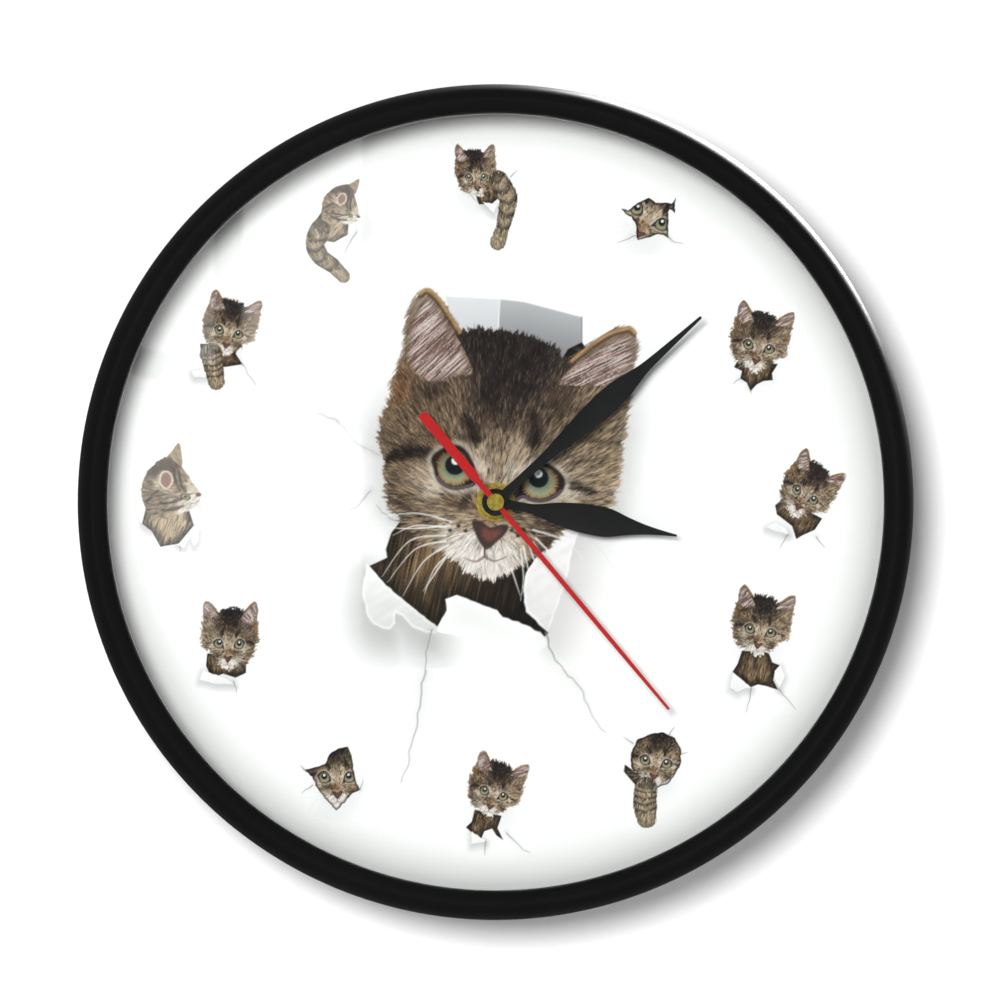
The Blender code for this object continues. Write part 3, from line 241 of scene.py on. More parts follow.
coat = dict(
    soot=[(-5, 58), (6, 55), (14, 52), (2, 47), (11, 41), (-1, 39)],
    umber=[(2, 31), (-5, 31), (9, 31), (14, 24), (-32, -12), (18, -15), (-9, 24), (-31, 18), (-24, 40),
           (22, 36)],
    rust=[(-3, -4), (-4, 1), (-35, 39)],
    bark=[(-16, 35), (-25, 31), (-33, 31), (-37, 24), (-29, 24), (-18, 26), (-20, 21), (-35, 12), (-33, 2),
          (-16, 0), (-8, -2), (16, -12)],
    hazel=[(1, 21), (18, 18), (30, 26), (40, 24), (32, -2), (-25, -2), (-29, -8), (-25, -14), (10, -8)],
    oat=[(1, 14), (-12, 20), (25, 19), (37, 31), (40, 14), (37, 8), (23, -3), (18, -3), (-13, -5), (13, -14)],
    sand=[(-6, 19), (9, 19), (2, 7), (44, 4), (-29, 9), (-10, -8), (6, -6)],
    cream=[(-5, 12), (-6, 5), (6, 11), (27, 2), (-24, 5), (-16, -12), (7, -14)],
    milk=[(-14, -14), (-12, -18), (-7, -21), (-3, -25), (2, -21), (5, -16), (-9, -13)])


def blendTones(canvas, areas, nearness=3.5):
    total, colour = 0, 0
    for tone, places in areas.items():
        for u, v in places:
            weight = 1 / (np.hypot(canvas["u"] - u, canvas["v"] - v) + 1.5)**nearness
            total, colour = total + weight, colour + weight[..., None] * np.array(furTones[tone], float)
    return colour / total[..., None]


def paintEar(canvas, ear, seed):
    flowU, flowV = ear["flow"]
    hair = streaks(canvas, flowU, flowV, 3.0, seed)
    edge = soft(depthInside(canvas, ear["outer"]) + 0.5 * hair, 1.2)
    cover(canvas, edge, np.array(ear["coat"], float) + 22 * hair[..., None])
    pit = soft(depthInside(canvas, ear["inner"]) - 0.8, 4.0)
    cover(canvas, pit, (122 + 28 * hair[..., None]) * np.array([1.0, 0.8, 0.74]))
    wisps = streaks(canvas, flowU + 0.15 * canvas["v"] / 30, flowV, 6.0, seed + 1)
    cover(canvas, 0.8 * pit * soft(wisps - 0.5, 1.1), (224, 217, 212))
    cover(canvas, 0.6 * pit * soft(-wisps - 0.9, 0.9), (92, 66, 58))
    distance, _, _ = pathDistance(canvas, curveThrough(ear["rim"], False), False, 3.0)
    cover(canvas, 0.9 * soft(0.75 - distance, 0.9),
          (168 + 16 * hair[..., None]) * np.array([1.0, 0.79, 0.53]))
    cover(canvas, 0.7 * soft(0.5 - abs(distance - 1.1), 0.9) * edge, (70, 52, 38))


def paintEye(canvas, eye, radius=6.9, pupilRadius=3.5):
    depth = depthInside(canvas, eye["outline"])
    cover(canvas, 0.6 * soft(depth + 2.6, 2.4), (206, 198, 186))
    cover(canvas, soft(depth + 0.9, 1.2), (34, 26, 24))
    du, dv = canvas["u"] - eye["middle"][0], canvas["v"] - eye["middle"][1]
    r, angle = np.hypot(du, dv) / radius, np.arctan2(dv, du)
    rays = 0.06 * np.sin(angle * 23 + 3 * np.sin(angle * 5)) + 0.05 * np.sin(angle * 41 + r * 9)
    rings = dict(at=[0.45, 0.62, 0.78, 0.9, 1.0], red=[128, 150, 158, 140, 52],
                 green=[140, 158, 142, 104, 38],
                 blue=[118, 126, 100, 70, 30])
    iris = np.stack([np.interp(r + rays, rings["at"], rings[part]) for part in ("red", "green", "blue")], -1)
    shade = (0.72 + 0.28 * np.clip(0.5 - dv / radius * 0.9, 0, 1))[..., None]
    cover(canvas, soft(depth - 0.35, 0.8) * soft((1.02 - r) * radius, 0.6), iris * shade)
    cover(canvas, 0.7 * soft(0.35 - abs(depth + 0.2), 0.5) * (dv < -0.4 * radius), (122, 112, 124))
    inPupil = np.hypot(canvas["u"] - eye["pupil"][0], canvas["v"] - eye["pupil"][1])
    cover(canvas, soft(pupilRadius - inPupil, 0.8), (9, 16, 22))
    inLight = np.hypot(canvas["u"] - eye["light"][0], canvas["v"] - eye["light"][1])
    cover(canvas, soft(1.5 - inLight, 0.6), (250, 252, 252))
    cover(canvas, 0.6 * soft(0.45 - inLight, 0.5), (90, 96, 100))


def furred(base, fine, tuft):
    # light and dark hairs over a base colour; pale fur shows fewer dark ones
    light = base.mean(-1, keepdims=True)
    calm = np.interp(light, [0, 150, 225], [1.0, 0.9, 0.22])
    coloured = base * (1 + calm * (0.15 * fine + 0.13 * tuft)[..., None])
    pale = soft(fine + 0.4 * tuft - 1.35, 0.8)[..., None]
    strength = np.clip(0.004 * light, 0.2, 0.6) * (light < 190)
    coloured += pale * (np.array([188.0, 168, 136]) - coloured) * strength
    coloured -= soft(-fine - 0.3 * tuft - 1.35, 0.8)[..., None] * coloured * 0.36 * calm
    return 250 * (np.clip(coloured, 8, 246) / 250)**1.2


def paintHead(canvas, seed=5, ears=True, edgeFuzz=1.0):
    u, v = canvas["u"], canvas["v"]
    flowU, flowV = u + 2.0, v + 6.0
    fine = streaks(canvas, flowU, flowV, 1.1, seed)
    tuft = np.clip(streaks(canvas, flowU, flowV, 2.4, seed + 1, 2), -1.6, 1.6)
    if ears:
        paintEar(canvas, leftEar, seed + 10)
        paintEar(canvas, rightEar, seed + 20)
    base = blendTones(canvas, coat)
    for path, width, strength in stripes:
        distance, along, _ = pathDistance(canvas, curveThrough(path, False), False, width + 3)
        taper = np.clip(np.minimum(along, 1 - along) * 4 + 0.25, 0, 1)
        mask = strength * soft(width * taper / 2 - distance + 0.7 * tuft, 2.0)
        base += (np.array([34.0, 27, 24]) - base) * mask[..., None]
    depth = depthInside(canvas, headOutline, 12.0)
    if ears:
        # the ears stand in front of the forehead
        inEars = np.maximum(depthInside(canvas, leftEar["outer"]),
                            depthInside(canvas, rightEar["outer"])) - 2.5
        inPits = np.maximum(depthInside(canvas, leftEar["inner"]), depthInside(canvas, rightEar["inner"]))
        depth = np.where((inEars > 0) & (v > 42), np.minimum(depth, 1.2 - inPits - 0.3 * (v - 42)), depth)
    cover(canvas, soft(depth + edgeFuzz * (0.6 * tuft + 0.3 * fine), edgeFuzz * 1.2),
          furred(base, fine, tuft))
    for eye in eyes:
        paintEye(canvas, eye)
    cover(canvas, 0.95 * soft(depthInside(canvas, nose), 0.9), (58, 46, 44))
    leather = (142 + 8 * fine[..., None]) * np.array([1.0, 0.55, 0.46])
    cover(canvas, 0.6 * soft(depthInside(canvas, noseLeather), 2.2), leather)
    drawLine(canvas, [(-3.9, -16), (-3.9, -19.6)], 0.8, (66, 50, 48), 0.8, 0.0)
    drawLine(canvas, [(-3.9, -19.6), (-7.3, -21.4), (-11.4, -20)], 1.1, (128, 104, 102), 0.7)
    drawLine(canvas, [(-3.9, -19.6), (-0.4, -21.2), (4, -19.6)], 1.1, (128, 104, 102), 0.7)
    for rootU, rootV in whiskerRoots:
        cover(canvas, 0.85 * soft(0.75 - np.hypot(u - rootU, (v - rootV) * 1.3), 0.7), (40, 32, 28))


def paintCoat(canvas, outline, tone, seed, flow=(0.1, -1.0), reach=5.0, rounded=False):
    # fur of one tone inside an outline, darker towards its edge
    fine = streaks(canvas, *flow, reach * 0.4, seed)
    tuft = streaks(canvas, *flow, reach * 0.8, seed + 1, 2)
    depth = depthInside(canvas, outline, reach, rounded)
    base = np.array(tone, float) * (0.35 + 0.65 * np.clip(depth / reach, 0, 1))[..., None]
    cover(canvas, soft(depth, canvas["cell"] * 1.5), furred(base, fine, tuft))


def paintLimb(canvas, path, widths, seed, tone=(150, 134, 112)):
    # a striped leg along a path, with its toes at the end
    line = curveThrough(path, False, 8)
    distance, along, _ = pathDistance(canvas, line, False, max(widths) + 2)
    half = np.interp(along, np.linspace(0, 1, len(widths)), widths)
    flow = np.array(path[-1]) - np.array(path[0])
    fine = streaks(canvas, *flow, 0.5, seed)
    bulge = np.sqrt(np.clip(1 - (distance / half)**2, 0.05, 1))
    bands = soft(np.sin(along * 34 + 0.8 * distance + 0.6 * fine) - 0.35, 0.7) * (along < 0.86)
    base = np.array(tone, float) * (0.5 + 0.5 * bulge - 0.4 * bands)[..., None]
    cover(canvas, soft(half - distance + 0.12 * fine, 0.4),
          np.clip(base * (1 + 0.2 * fine)[..., None], 15, 235))


def paintFlap(canvas, outline, seed, top=246, low=226, edge=0.8):
    # a turned-back piece of torn paper: light, shaded down its height, with a bright torn edge
    torn = raggedLine(list(outline) + [outline[0]], seed, edge * 2, edge * 0.6)[:-1]
    depth = depthInside(canvas, torn, 6.0 * edge, False)
    lowest, highest = min(p[1] for p in outline), max(p[1] for p in outline)
    height = np.clip((canvas["v"] - lowest) / (highest - lowest), 0, 1)
    crumple = streaks(canvas, 1, 0.6, 6 * edge, seed, 6)
    light = np.clip(low + (top - low) * height + 2.5 * crumple, 0, 253)
    cover(canvas, soft(depth, canvas["cell"] * 1.6), np.repeat(light[..., None], 3, -1))
    cover(canvas, 0.5 * soft(0.5 * edge - abs(depth - 0.6 * edge), edge), (253, 253, 253))


def paintTornPaper(canvas, outline, seed):
    # paper that bends back into the sheet: its torn upper edge shows, and its foot melts into the sheet
    torn = raggedLine(list(outline) + [outline[0]], seed, 1.6, 0.5)[:-1]
    depth = depthInside(canvas, torn, 12.0, False)
    highest, lowest = max(p[1] for p in outline), min(p[1] for p in outline)
    fade = np.clip((canvas["v"] - lowest) / (highest - lowest), 0, 1)
    light = 247 - 10 * soft(depth - 3, 6) * fade
    cover(canvas, soft(depth, 0.8), np.repeat(light[..., None], 3, -1))
    cover(canvas, 0.9 * soft(0.5 - abs(depth - 0.5), 0.8) * soft(fade - 0.2, 0.3), (253, 253, 253))


def paintCrack(canvas, points, seed, width=0.5, dark=150, strength=0.8):
    torn = raggedLine(points, seed, 2.2 * width + 0.6, width * 1.1)
    distance, along, _ = pathDistance(canvas, torn, False, 8 * width)
    darken(canvas, soft(4 * width - distance, 7 * width) * (1 - along), 0.05)
    drawLine(canvas, torn, width, (dark, dark, dark + 2), strength, 0.6, False)


chestHole = [(-33.5, -6), (-37.5, -11), (-39.5, -17), (-39, -20), (-45.5, -23), (-39.5, -30), (-31, -37),
             (-21, -45), (-17.5, -39), (-18, -35), (-14, -33.5), (-9, -35.5), (0.5, -39), (2.5, -41.5),
             (12.5, -45), (17.5, -48.5), (19, -47), (14.5, -42.5), (11, -39.5), (10, -32), (11, -25.5),
             (14.5, -20), (20.5, -14), (14.5, -11), (-11.5, -7)]
leftFlap = [(-46.5, -22), (-45.5, -23), (-39.5, -30), (-31, -37), (-21, -45), (-21.5, -47.5), (-25.5, -47),
            (-30, -45), (-33.5, -41), (-36, -40), (-36, -43.5), (-38, -46), (-41, -45.5), (-44, -44),
            (-46.5, -40.5), (-48, -33)]
rightFlap = [(20.5, -14), (21.5, -11), (25.5, -9.5), (30, -10), (27.5, -17), (26, -26), (23, -35.5),
             (19.5, -45), (19, -47), (14.5, -42.5), (11, -39.5), (10, -32), (11, -25.5), (14.5, -20)]
bottomFlap = [(-21, -45), (-17.5, -39), (-18, -35), (-14, -33.5), (-9, -35.5), (0.5, -39), (2.5, -41.5),
              (12.5, -45), (17.5, -48.5), (19, -52), (13, -55), (2, -52), (-12, -48), (-21, -46.5)]
topHole = [(-18, 74), (1, 73), (10, 72), (31, 66.5), (31, 57), (26, 50), (2, 50), (-14, 52)]


def paintBigKitten(canvas):
    # the window torn above the head, with a fold down it
    above = soft(depthInside(canvas, topHole, 6.0, False), 0.7)
    fade = np.clip((canvas["v"] - 52) / 22, 0, 1)
    pastFold = soft(canvas["u"] - 1.2 - 0.03 * (canvas["v"] - 60), 0.5)
    rightwards = np.clip((canvas["u"] - 10) / 20, 0, 1)
    grey = (196 + 30 * fade) * (1 - pastFold) + (128 + 62 * fade + 12 * rightwards) * pastFold
    cover(canvas, above, np.stack([grey - 2, grey - 1, grey + 2], -1))
    drawLine(canvas, [(1.6, 73), (1.0, 63), (2.0, 54)], 0.5, (238, 238, 240), 0.7, 0.0)
    drawLine(canvas, [(31, 66.5), (31, 57)], 0.5, (120, 120, 124), 0.7, 0.0)
    paintCoat(canvas, [(31, 57.5), (26, 55), (23, 50), (29, 50), (33, 55)], (52, 48, 50), 61, (1, -0.4), 3.0)
    # soft grey on the paper round the head and under the flaps
    shadow = depthInside(canvas, headOutline, 14.0)
    darken(canvas, soft(shadow + 4, 14) * np.clip((48 - canvas["v"]) / 24, 0, 1), 0.16)
    under = depthInside(canvas, [(x, z - 5) for x, z in leftFlap], 16.0, False)
    darken(canvas, soft(under + 4, 18), 0.22)
    beside = depthInside(canvas, [(x + 4, z - 4) for x, z in rightFlap], 16.0, False)
    darken(canvas, soft(beside + 4, 18), 0.12)
    paintCoat(canvas, chestHole, (118, 98, 76), 71, (-0.25, -1.0), 12.0)
    inChest = soft(depthInside(canvas, chestHole, 6, False), 0.6)
    darkSide = soft(canvas["u"] + 6 + 0.5 * (canvas["v"] + 30), 16) * inChest
    darken(canvas, darkSide, 0.55)
    paintFlap(canvas, rightFlap, 31, 246, 224)
    paintTornPaper(canvas, bottomFlap, 32)
    paintFlap(canvas, leftFlap, 33, 250, 214)
    paintHead(canvas)
    paintCrack(canvas, [(-45, 4), (-49, -1), (-53, -3)], 41, 0.4, 150)
    paintCrack(canvas, [(-34, -7), (-38, -6), (-43, -1)], 42, 0.4, 140)
    paintCrack(canvas, [(-23, -46), (-24, -50), (-25.2, -59), (-25.6, -63)], 43, 0.6, 150)
    paintCrack(canvas, [(18, -47), (19, -52), (21.5, -57), (25, -61)], 44, 0.7, 140)
    paintCrack(canvas, [(-42, 17), (-46, 19), (-50, 21), (-54.5, 27), (-58, 29)], 45, 0.35, 175)
    for path in whiskers[:-1]:
        drawLine(canvas, path, 0.75, (240, 238, 236), 0.8)
    drawLine(canvas, whiskers[-1], 0.4, (214, 212, 214), 0.5)


# the small kittens, one for each hour: place on the dial, size against the big one, and what shows of them
smallKittens = [
    dict(name="kitten_1", place=(53.8, 99.9), size=0.34, tilt=-23, reach=(13, 15, 12, 14), seed=101,
         opening=[(-8.6, 5.6), (-6.2, 5.0), (-4.4, 6.5), (-1.6, 8.2), (1.3, 9.6), (3.8, 7.8), (6.7, 7.8),
                  (9.6, 7.4), (11, 9.6), (10.7, 4.1), (8.8, 5.5), (8.2, 4.4), (8.5, 1.6), (8.2, -1.3),
                  (8.5, -4.9), (6.7, -3.8), (4.6, -3.4), (2, -4.5), (-0.8, -5.2), (-2.6, -5.6), (-3, -3.8),
                  (-3.3, -0.2), (-4.8, 2.7), (-7, 3.8)],
         cracks=[[(-3, -4), (-7, -5.5), (-10, -6.5)], [(8.5, -4.5), (11, -6.5), (14, -7)]]),
    dict(name="kitten_2", place=(94.4, 53.5), size=0.245, tilt=-3, reach=(14, 14, 15, 21), seed=102,
         chest=[(-30, -14), (-34, -22), (-22, -27), (-24, -38), (-14, -44), (-8, -56), (0, -46), (10, -40),
                (24, -38), (22, -28), (30, -14)],
         cracks=[[(-3, -12), (-2, -15)], [(-6, -9), (-9, -11)]]),
    dict(name="kitten_3", place=(110.4, 0.5), size=0.235, tilt=-22, stretch=0.95, reach=(15, 16, 18, 20),
         seed=103,
         chest=[(-30, -8), (-38, -22), (-30, -34), (-14, -38), (0, -42), (14, -58), (20, -50), (36, -34),
                (40, -14)],
         cracks=[[(-5, -12), (-8, -17)], [(5, -13), (8, -17)]],
         flaps=[[(-10, -8), (-6, -10), (-5, -12), (-9, -11), (-13, -9.5)]]),
    dict(name="kitten_4", place=(95.0, -48.7), size=0.245, tilt=-2, reach=(15, 14, 28, 21), seed=104,
         chest=[(-25, -20), (-31, -40), (-38, -52), (-20, -66), (-12, -74), (0, -69), (12, -71), (30, -76),
                (22, -62), (24, -48), (31, -40), (20, -36), (14, -22)],
         flaps=[[(-9.5, -12.8), (-3, -18), (-6, -18.5), (-8, -19.5), (-10.5, -18)],
                [(7.5, -9.8), (5.5, -12), (5.5, -15), (7.2, -18), (9, -14)]],
         cracks=[[(-3, -18), (-3.5, -22), (-5, -27)], [(7, -18.5), (10, -22), (13, -26)]]),
    dict(name="kitten_5", place=(57.5, -95.9), size=0.25, tilt=0, reach=(12, 12, 24, 16), seed=105,
         ears=False,
         opening=[(-6.5, 10.5), (-2, 12.3), (3, 13), (7, 11), (9.3, 6.5), (9, 1.5), (6.5, -3), (4.5, -5.5),
                  (0, -7), (-3.5, -6.5), (-6, -3), (-8.8, 1), (-8.8, 5.5)],
         chest=[(-44, 6), (-46, -4), (-30, -22), (-24, -34), (-8, -34), (-14, -16)],
         limb=dict(path=[(-3.4, -7), (-3.8, -12), (-3.2, -18)], widths=[4.1, 4.2, 4.2, 3.4]),
         cracks=[[(9, 5), (12, 6)], [(-8, 9), (-12, 12)], [(5, 12), (7, 15)]]),
    dict(name="kitten_6", place=(-1.1, -107.0), size=0.225, tilt=-8, reach=(13, 14, 22, 18), seed=106,
         chest=[(-26, -20), (-28, -40), (-36, -50), (-10, -68), (-6, -52), (6, -46), (14, -56), (26, -62),
                (14, -44), (18, -24)],
         flaps=[[(-7.5, -11.5), (-2.5, -15), (-5, -15.5), (-7.5, -16)]],
         cracks=[[(-2.5, -15), (-2.8, -20)], [(5, -12), (10, -17), (14, -20)]]),
    dict(name="kitten_7", place=(-56.8, -101.8), size=0.29, tilt=10, reach=(14, 11, 14, 15), seed=107,
         opening=[(-12, 5.5), (-9.5, 6), (-7, 6.6), (-4.5, 7.6), (-2.8, 11.2), (0, 13), (3.6, 13.8),
                  (5, 10.5), (6, 4), (6.8, 0.5), (8, -1.7), (5.5, -2.8), (3, -5.6), (-0.6, -9.2),
                  (-2.4, -7), (-5.2, -4), (-8, -0.2), (-9.2, 3)],
         cracks=[[(-12, 5.5), (-14, 8)], [(8, -1.7), (9, 2)], [(-9, 0), (-13, -3)]]),
    dict(name="kitten_8", place=(-96.3, -53.4), size=0.25, tilt=-12, stretch=-0.94, reach=(15, 15, 17, 20),
         seed=108,
         chest=[(-30, -8), (-34, -26), (-20, -36), (0, -34), (16, -44), (28, -28), (30, -10)],
         flaps=[[(-9, -7), (-1, -10), (2, -12), (-4, -12), (-10, -10.5)]],
         cracks=[[(2, -11), (3, -15)]]),
    dict(name="kitten_9", place=(-110.0, 2.0), size=1.0, tilt=0, reach=(19, 10, 21, 21), seed=109,
         fromSide=True,
         flaps=[[(-5, -17), (1.2, -10.8), (3.2, -12), (3, -16), (1.5, -18), (0, -14.5), (-2, -18.5)],
                [(-18.5, -8), (-15, -8.5), (-13.4, -12.6), (-16, -11)]],
         cracks=[[(-4, -17), (-3.5, -20)]]),
    dict(name="kitten_10", place=(-96.3, 59.0), size=0.225, tilt=-4, reach=(15, 15, 22, 18), seed=110,
         chest=[(-44, -12), (-40, -34), (-30, -48), (0, -46), (26, -40), (14, -24), (18, -10)],
         limb=dict(path=[(-6, -6), (-5, -11), (-4.2, -15.6)], widths=[4.2, 3.6, 3.2, 3.0]),
         flaps=[[(-13, -12), (-8.5, -11), (-7.5, -14), (-12, -14)]],
         cracks=[[(5, -9), (8, -14), (10, -17)]]),
    dict(name="kitten_11", place=(-51.5, 103.1), size=0.68, tilt=-22, reach=(17.5, 8, 25, 16), seed=111,
         fromSide=True,
         limb=dict(path=[(-11.6, -5), (-13.4, -10), (-11.7, -14.6), (-6.9, -18.2), (-3.2, -22)],
                   widths=[3.6, 3.5, 3.1, 2.7, 2.3]),
         flaps=[[(-14.5, -3), (-12.8, -4), (-12.8, -7), (-15, -6)]],
         cracks=[[(1.5, -6), (-1, -10), (-3, -14)]]),
    dict(name="kitten_12", place=(-6.6, 115.0), size=0.195, tilt=12, stretch=0.88, reach=(10, 17, 26, 16),
         seed=112,
         chest=[(-10, -20), (-6, -40), (20, -44), (50, -30), (64, 0), (40, 10)],
         limb=dict(path=[(7.5, 1), (11, -6), (9.7, -14), (7.4, -21.5)], widths=[3.4, 3.6, 3.0, 2.4, 2.8]),
         flaps=[[(2, -7), (7, -8), (6, -11)]],
         cracks=[[(12, 2), (14.5, 4.5)], [(-4, -3), (0, -7)]])]


# a small kitten's head seen from its right side, in upright millimetres, with the body below it
sideHead = dict(
    outline=[(-4, 11.4), (-8.2, 14.2), (-11.8, 12.4), (-15.4, 8.8), (-17.5, 2.8), (-16.6, -2.6),
             (-14.5, -6.5), (-8, -8), (-2.8, -6), (1, -4.4), (3, -2.6), (3.7, 0.2), (2.8, 2.2), (0.8, 5.2),
             (-1.7, 8.8)],
    farEar=[(-9, 12.6), (-6.6, 16.2), (-4, 19.3), (-3, 15.4), (-3.2, 10.6)],
    nearEar=[(-11, 4.6), (-10.6, 8.2), (-8.4, 9.4), (-6.2, 7.6), (-6.3, 4.6), (-8.4, 2.4)],
    body=[(-15.8, -4), (-17.2, -9.8), (-13.6, -12.6), (-10.6, -18.1), (-4, -16.9), (1.4, -10.4), (-0.6, -4)],
    stripes=[[(-3, -0.8), (-6.5, -2.2), (-10.5, -2.4)], [(-2.4, -3.4), (-6, -4.6), (-10, -4.8)],
             [(-1.8, 2), (-3.4, 5), (-4, 9)], [(-3.6, 2.4), (-5, 5), (-5.8, 10)],
             [(-11.5, 2), (-13.6, 0.5), (-15.5, -2)]],
    tones=dict(umber=[(-9, 12.5), (-13, 9), (-6.5, 11)], hazel=[(-15, 4), (-12, -1), (-14, -4)],
               oat=[(-4, 3), (-2, 7), (-8, -5)],
               cream=[(0.5, 3), (-2, -2.6), (-11, 5.5)], milk=[(1.5, -2.4), (-1.5, -4.6)]),
    eye=(-1.6, -0.1), nose=(3.1, 0.7))


def paintFromSide(canvas, seed):
    u, v = canvas["u"], canvas["v"]
    paintCoat(canvas, sideHead["body"], (176, 160, 138), seed + 5, (-0.3, -1.0), 3.0)
    fine = streaks(canvas, u - 4, v - 1, 0.7, seed)
    tuft = np.clip(streaks(canvas, u - 4, v - 1, 1.4, seed + 1, 2), -1.6, 1.6)
    cover(canvas, soft(depthInside(canvas, sideHead["farEar"]), 0.6),
          np.array((150.0, 134, 112)) + 18 * fine[..., None])
    base = blendTones(canvas, sideHead["tones"])
    for path in sideHead["stripes"]:
        distance, _, _ = pathDistance(canvas, curveThrough(path, False), False, 3.0)
        mask = 0.75 * soft(0.45 - distance + 0.15 * tuft, 0.6)
        base += (np.array([52.0, 44, 38]) - base) * mask[..., None]
    depth = depthInside(canvas, sideHead["outline"], 3.0)
    cover(canvas, soft(depth + 0.2 * tuft, 0.5), furred(base, fine, tuft))
    inEar = depthInside(canvas, sideHead["nearEar"], 3.0)
    cover(canvas, soft(inEar + 0.1 * fine, 0.5), (214, 200, 180))
    cover(canvas, soft(inEar - 0.7, 0.8), (138, 106, 96))
    du, dv = u - sideHead["eye"][0], v - sideHead["eye"][1]
    inEye = np.hypot(du + 0.5 * dv, 1.5 * dv)
    for reach, colour in ((1.75, (34, 28, 26)), (1.3, (168, 160, 104)), (0.65, (12, 16, 20))):
        cover(canvas, soft(reach - inEye, 0.4), colour)
    inNose = np.hypot(u - sideHead["nose"][0], 1.4 * (v - sideHead["nose"][1]))
    cover(canvas, soft(0.95 - inNose, 0.5), (92, 58, 50))
    drawLine(canvas, [(3.2, -1.4), (1.6, -2.4), (-0.4, -2.6)], 0.35, (84, 66, 60), 0.8)
    for number in range(4):
        drawLine(canvas, [(1.6, -1 - 0.4 * number), (4, -2.4 - number), (5.6, -5 - 1.6 * number)], 0.3,
                 (206, 202, 200), 0.7)


def paintSmallKitten(kitten):
    left, right, down, up = kitten["reach"]
    x, z = kitten["place"]
    seed = kitten["seed"]
    canvas = makeCanvas((x - left, x + right), (z - down, z + up), 0.24, kitten["place"], kitten["size"],
                        kitten["tilt"],
                        kitten.get("stretch", 1.0))
    paperView = onPaper(canvas, kitten["place"])
    darken(paperView, soft(8 - np.hypot(paperView["u"], paperView["v"] + 4), 9), 0.05)
    for number, points in enumerate(kitten.get("cracks", [])):
        paintCrack(paperView, points, seed + 40 + number, 0.3, 110)
    if "chest" in kitten:
        paintCoat(canvas, kitten["chest"], (112, 95, 76), seed + 5, (-0.2, -1.0), 9.0)
    for number, outline in enumerate(kitten.get("flaps", [])):
        darken(paperView, soft(depthInside(paperView, [(a, b - 1) for a, b in outline], 4, False) + 1, 4),
               0.16)
        paintFlap(paperView, outline, seed + 50 + number, 252, 236, 0.3)
    before = canvas["rgb"].copy()
    if "fromSide" in kitten:
        paintFromSide(canvas, seed)
    else:
        paintHead(canvas, seed, kitten.get("ears", "opening" not in kitten), 2.4)
    if "opening" in kitten:
        torn = raggedLine(kitten["opening"] + kitten["opening"][:1], seed + 60, 0.9, 0.3)[:-1]
        depth = depthInside(paperView, torn, 4.0, False)
        seen = soft(depth, 0.35)[..., None]
        shade = (1 - 0.75 * soft(0.5 - depth, 1.1))[..., None]
        canvas["rgb"][:] = before * (1 - seen) + canvas["rgb"] * shade * seen
    if "limb" in kitten:
        paintLimb(paperView, kitten["limb"]["path"], kitten["limb"]["widths"], seed + 7)
    for path in whiskers[:8:2] if "fromSide" not in kitten else []:
        drawLine(canvas, path, 1.2, (226, 224, 224), 0.5)
    # the picture ends in plain paper at its edges
    x, z = canvas["x"] - x, canvas["z"] - z
    edge = np.minimum.reduce([x + left, right - x, z + down, up - z])
    cover(canvas, 1 - np.clip(edge / 1.2, 0, 1), paper)
    return canvas


def inScene(name, data):
    item = bpy.data.objects.new(name, data)
    bpy.context.scene.collection.objects.link(item)
    return item


def feed(tree, node, feeds):
    # each input takes a plain value or another node's output
    for slot, value in feeds.items():
        if isinstance(value, bpy.types.NodeSocket):
            tree.links.new(value, node.inputs[slot])
        else:
            node.inputs[slot].default_value = value


def addNode(tree, kind, feeds=None, **settings):
    node = tree.nodes.new(kind)
    for name, value in settings.items():
        setattr(node, name, value)
    feed(tree, node, feeds or {})
    return node


def compute(tree, operation, *values, clamped=False):
    node = addNode(tree, "ShaderNodeMath", dict(enumerate(values)), operation=operation, use_clamp=clamped)
    return node.outputs["Value"]


def computeVector(tree, operation, *values):
    return addNode(tree, "ShaderNodeVectorMath", dict(enumerate(values)), operation=operation)


def mapRange(tree, value, fromMin, fromMax, toMin=0.0, toMax=1.0, **settings):
    feeds = {"Value": value, "From Min": fromMin, "From Max": fromMax, "To Min": toMin, "To Max": toMax}
    return addNode(tree, "ShaderNodeMapRange", feeds, **settings).outputs["Result"]


def reliefFrom(tree, height, strength, distance):
    feeds = {"Height": height, "Strength": strength, "Distance": distance}
    return addNode(tree, "ShaderNodeBump", feeds).outputs["Normal"]


def objectPlace(tree):
    return addNode(tree, "ShaderNodeTexCoord").outputs["Object"]


def mixColours(tree, factor, first, second):
    mix = addNode(tree, "ShaderNodeMix", data_type="RGBA")
    first, second = ((*value, 1.0) if isinstance(value, tuple) else value for value in (first, second))
    feed(tree, mix, {"Factor": factor, 6: first, 7: second})
    return mix.outputs[2]


def mixShaders(tree, factor, first, second, end="Material Output"):
    # the second shader stands where the factor is 1
    mix = addNode(tree, "ShaderNodeMixShader", {"Fac": factor, 1: first.outputs[0], 2: second.outputs[0]})
    feed(tree, tree.nodes[end], {"Surface": mix.outputs["Shader"]})


def newMaterial(name):
    material = bpy.data.materials.new(name)
    material.use_nodes = True
    return material, material.node_tree, material.node_tree.nodes["Principled BSDF"]


def newGroup(name, inputs, outputs):
    group = bpy.data.node_groups.new(name, "ShaderNodeTree")
    for label, kind, value in inputs:
        group.interface.new_socket(name=label, in_out="INPUT", socket_type=kind).default_value = value
    for label in outputs:
        group.interface.new_socket(name=label, in_out="OUTPUT", socket_type="NodeSocketFloat")
    return group, group.nodes.new("NodeGroupInput").outputs, group.nodes.new("NodeGroupOutput")


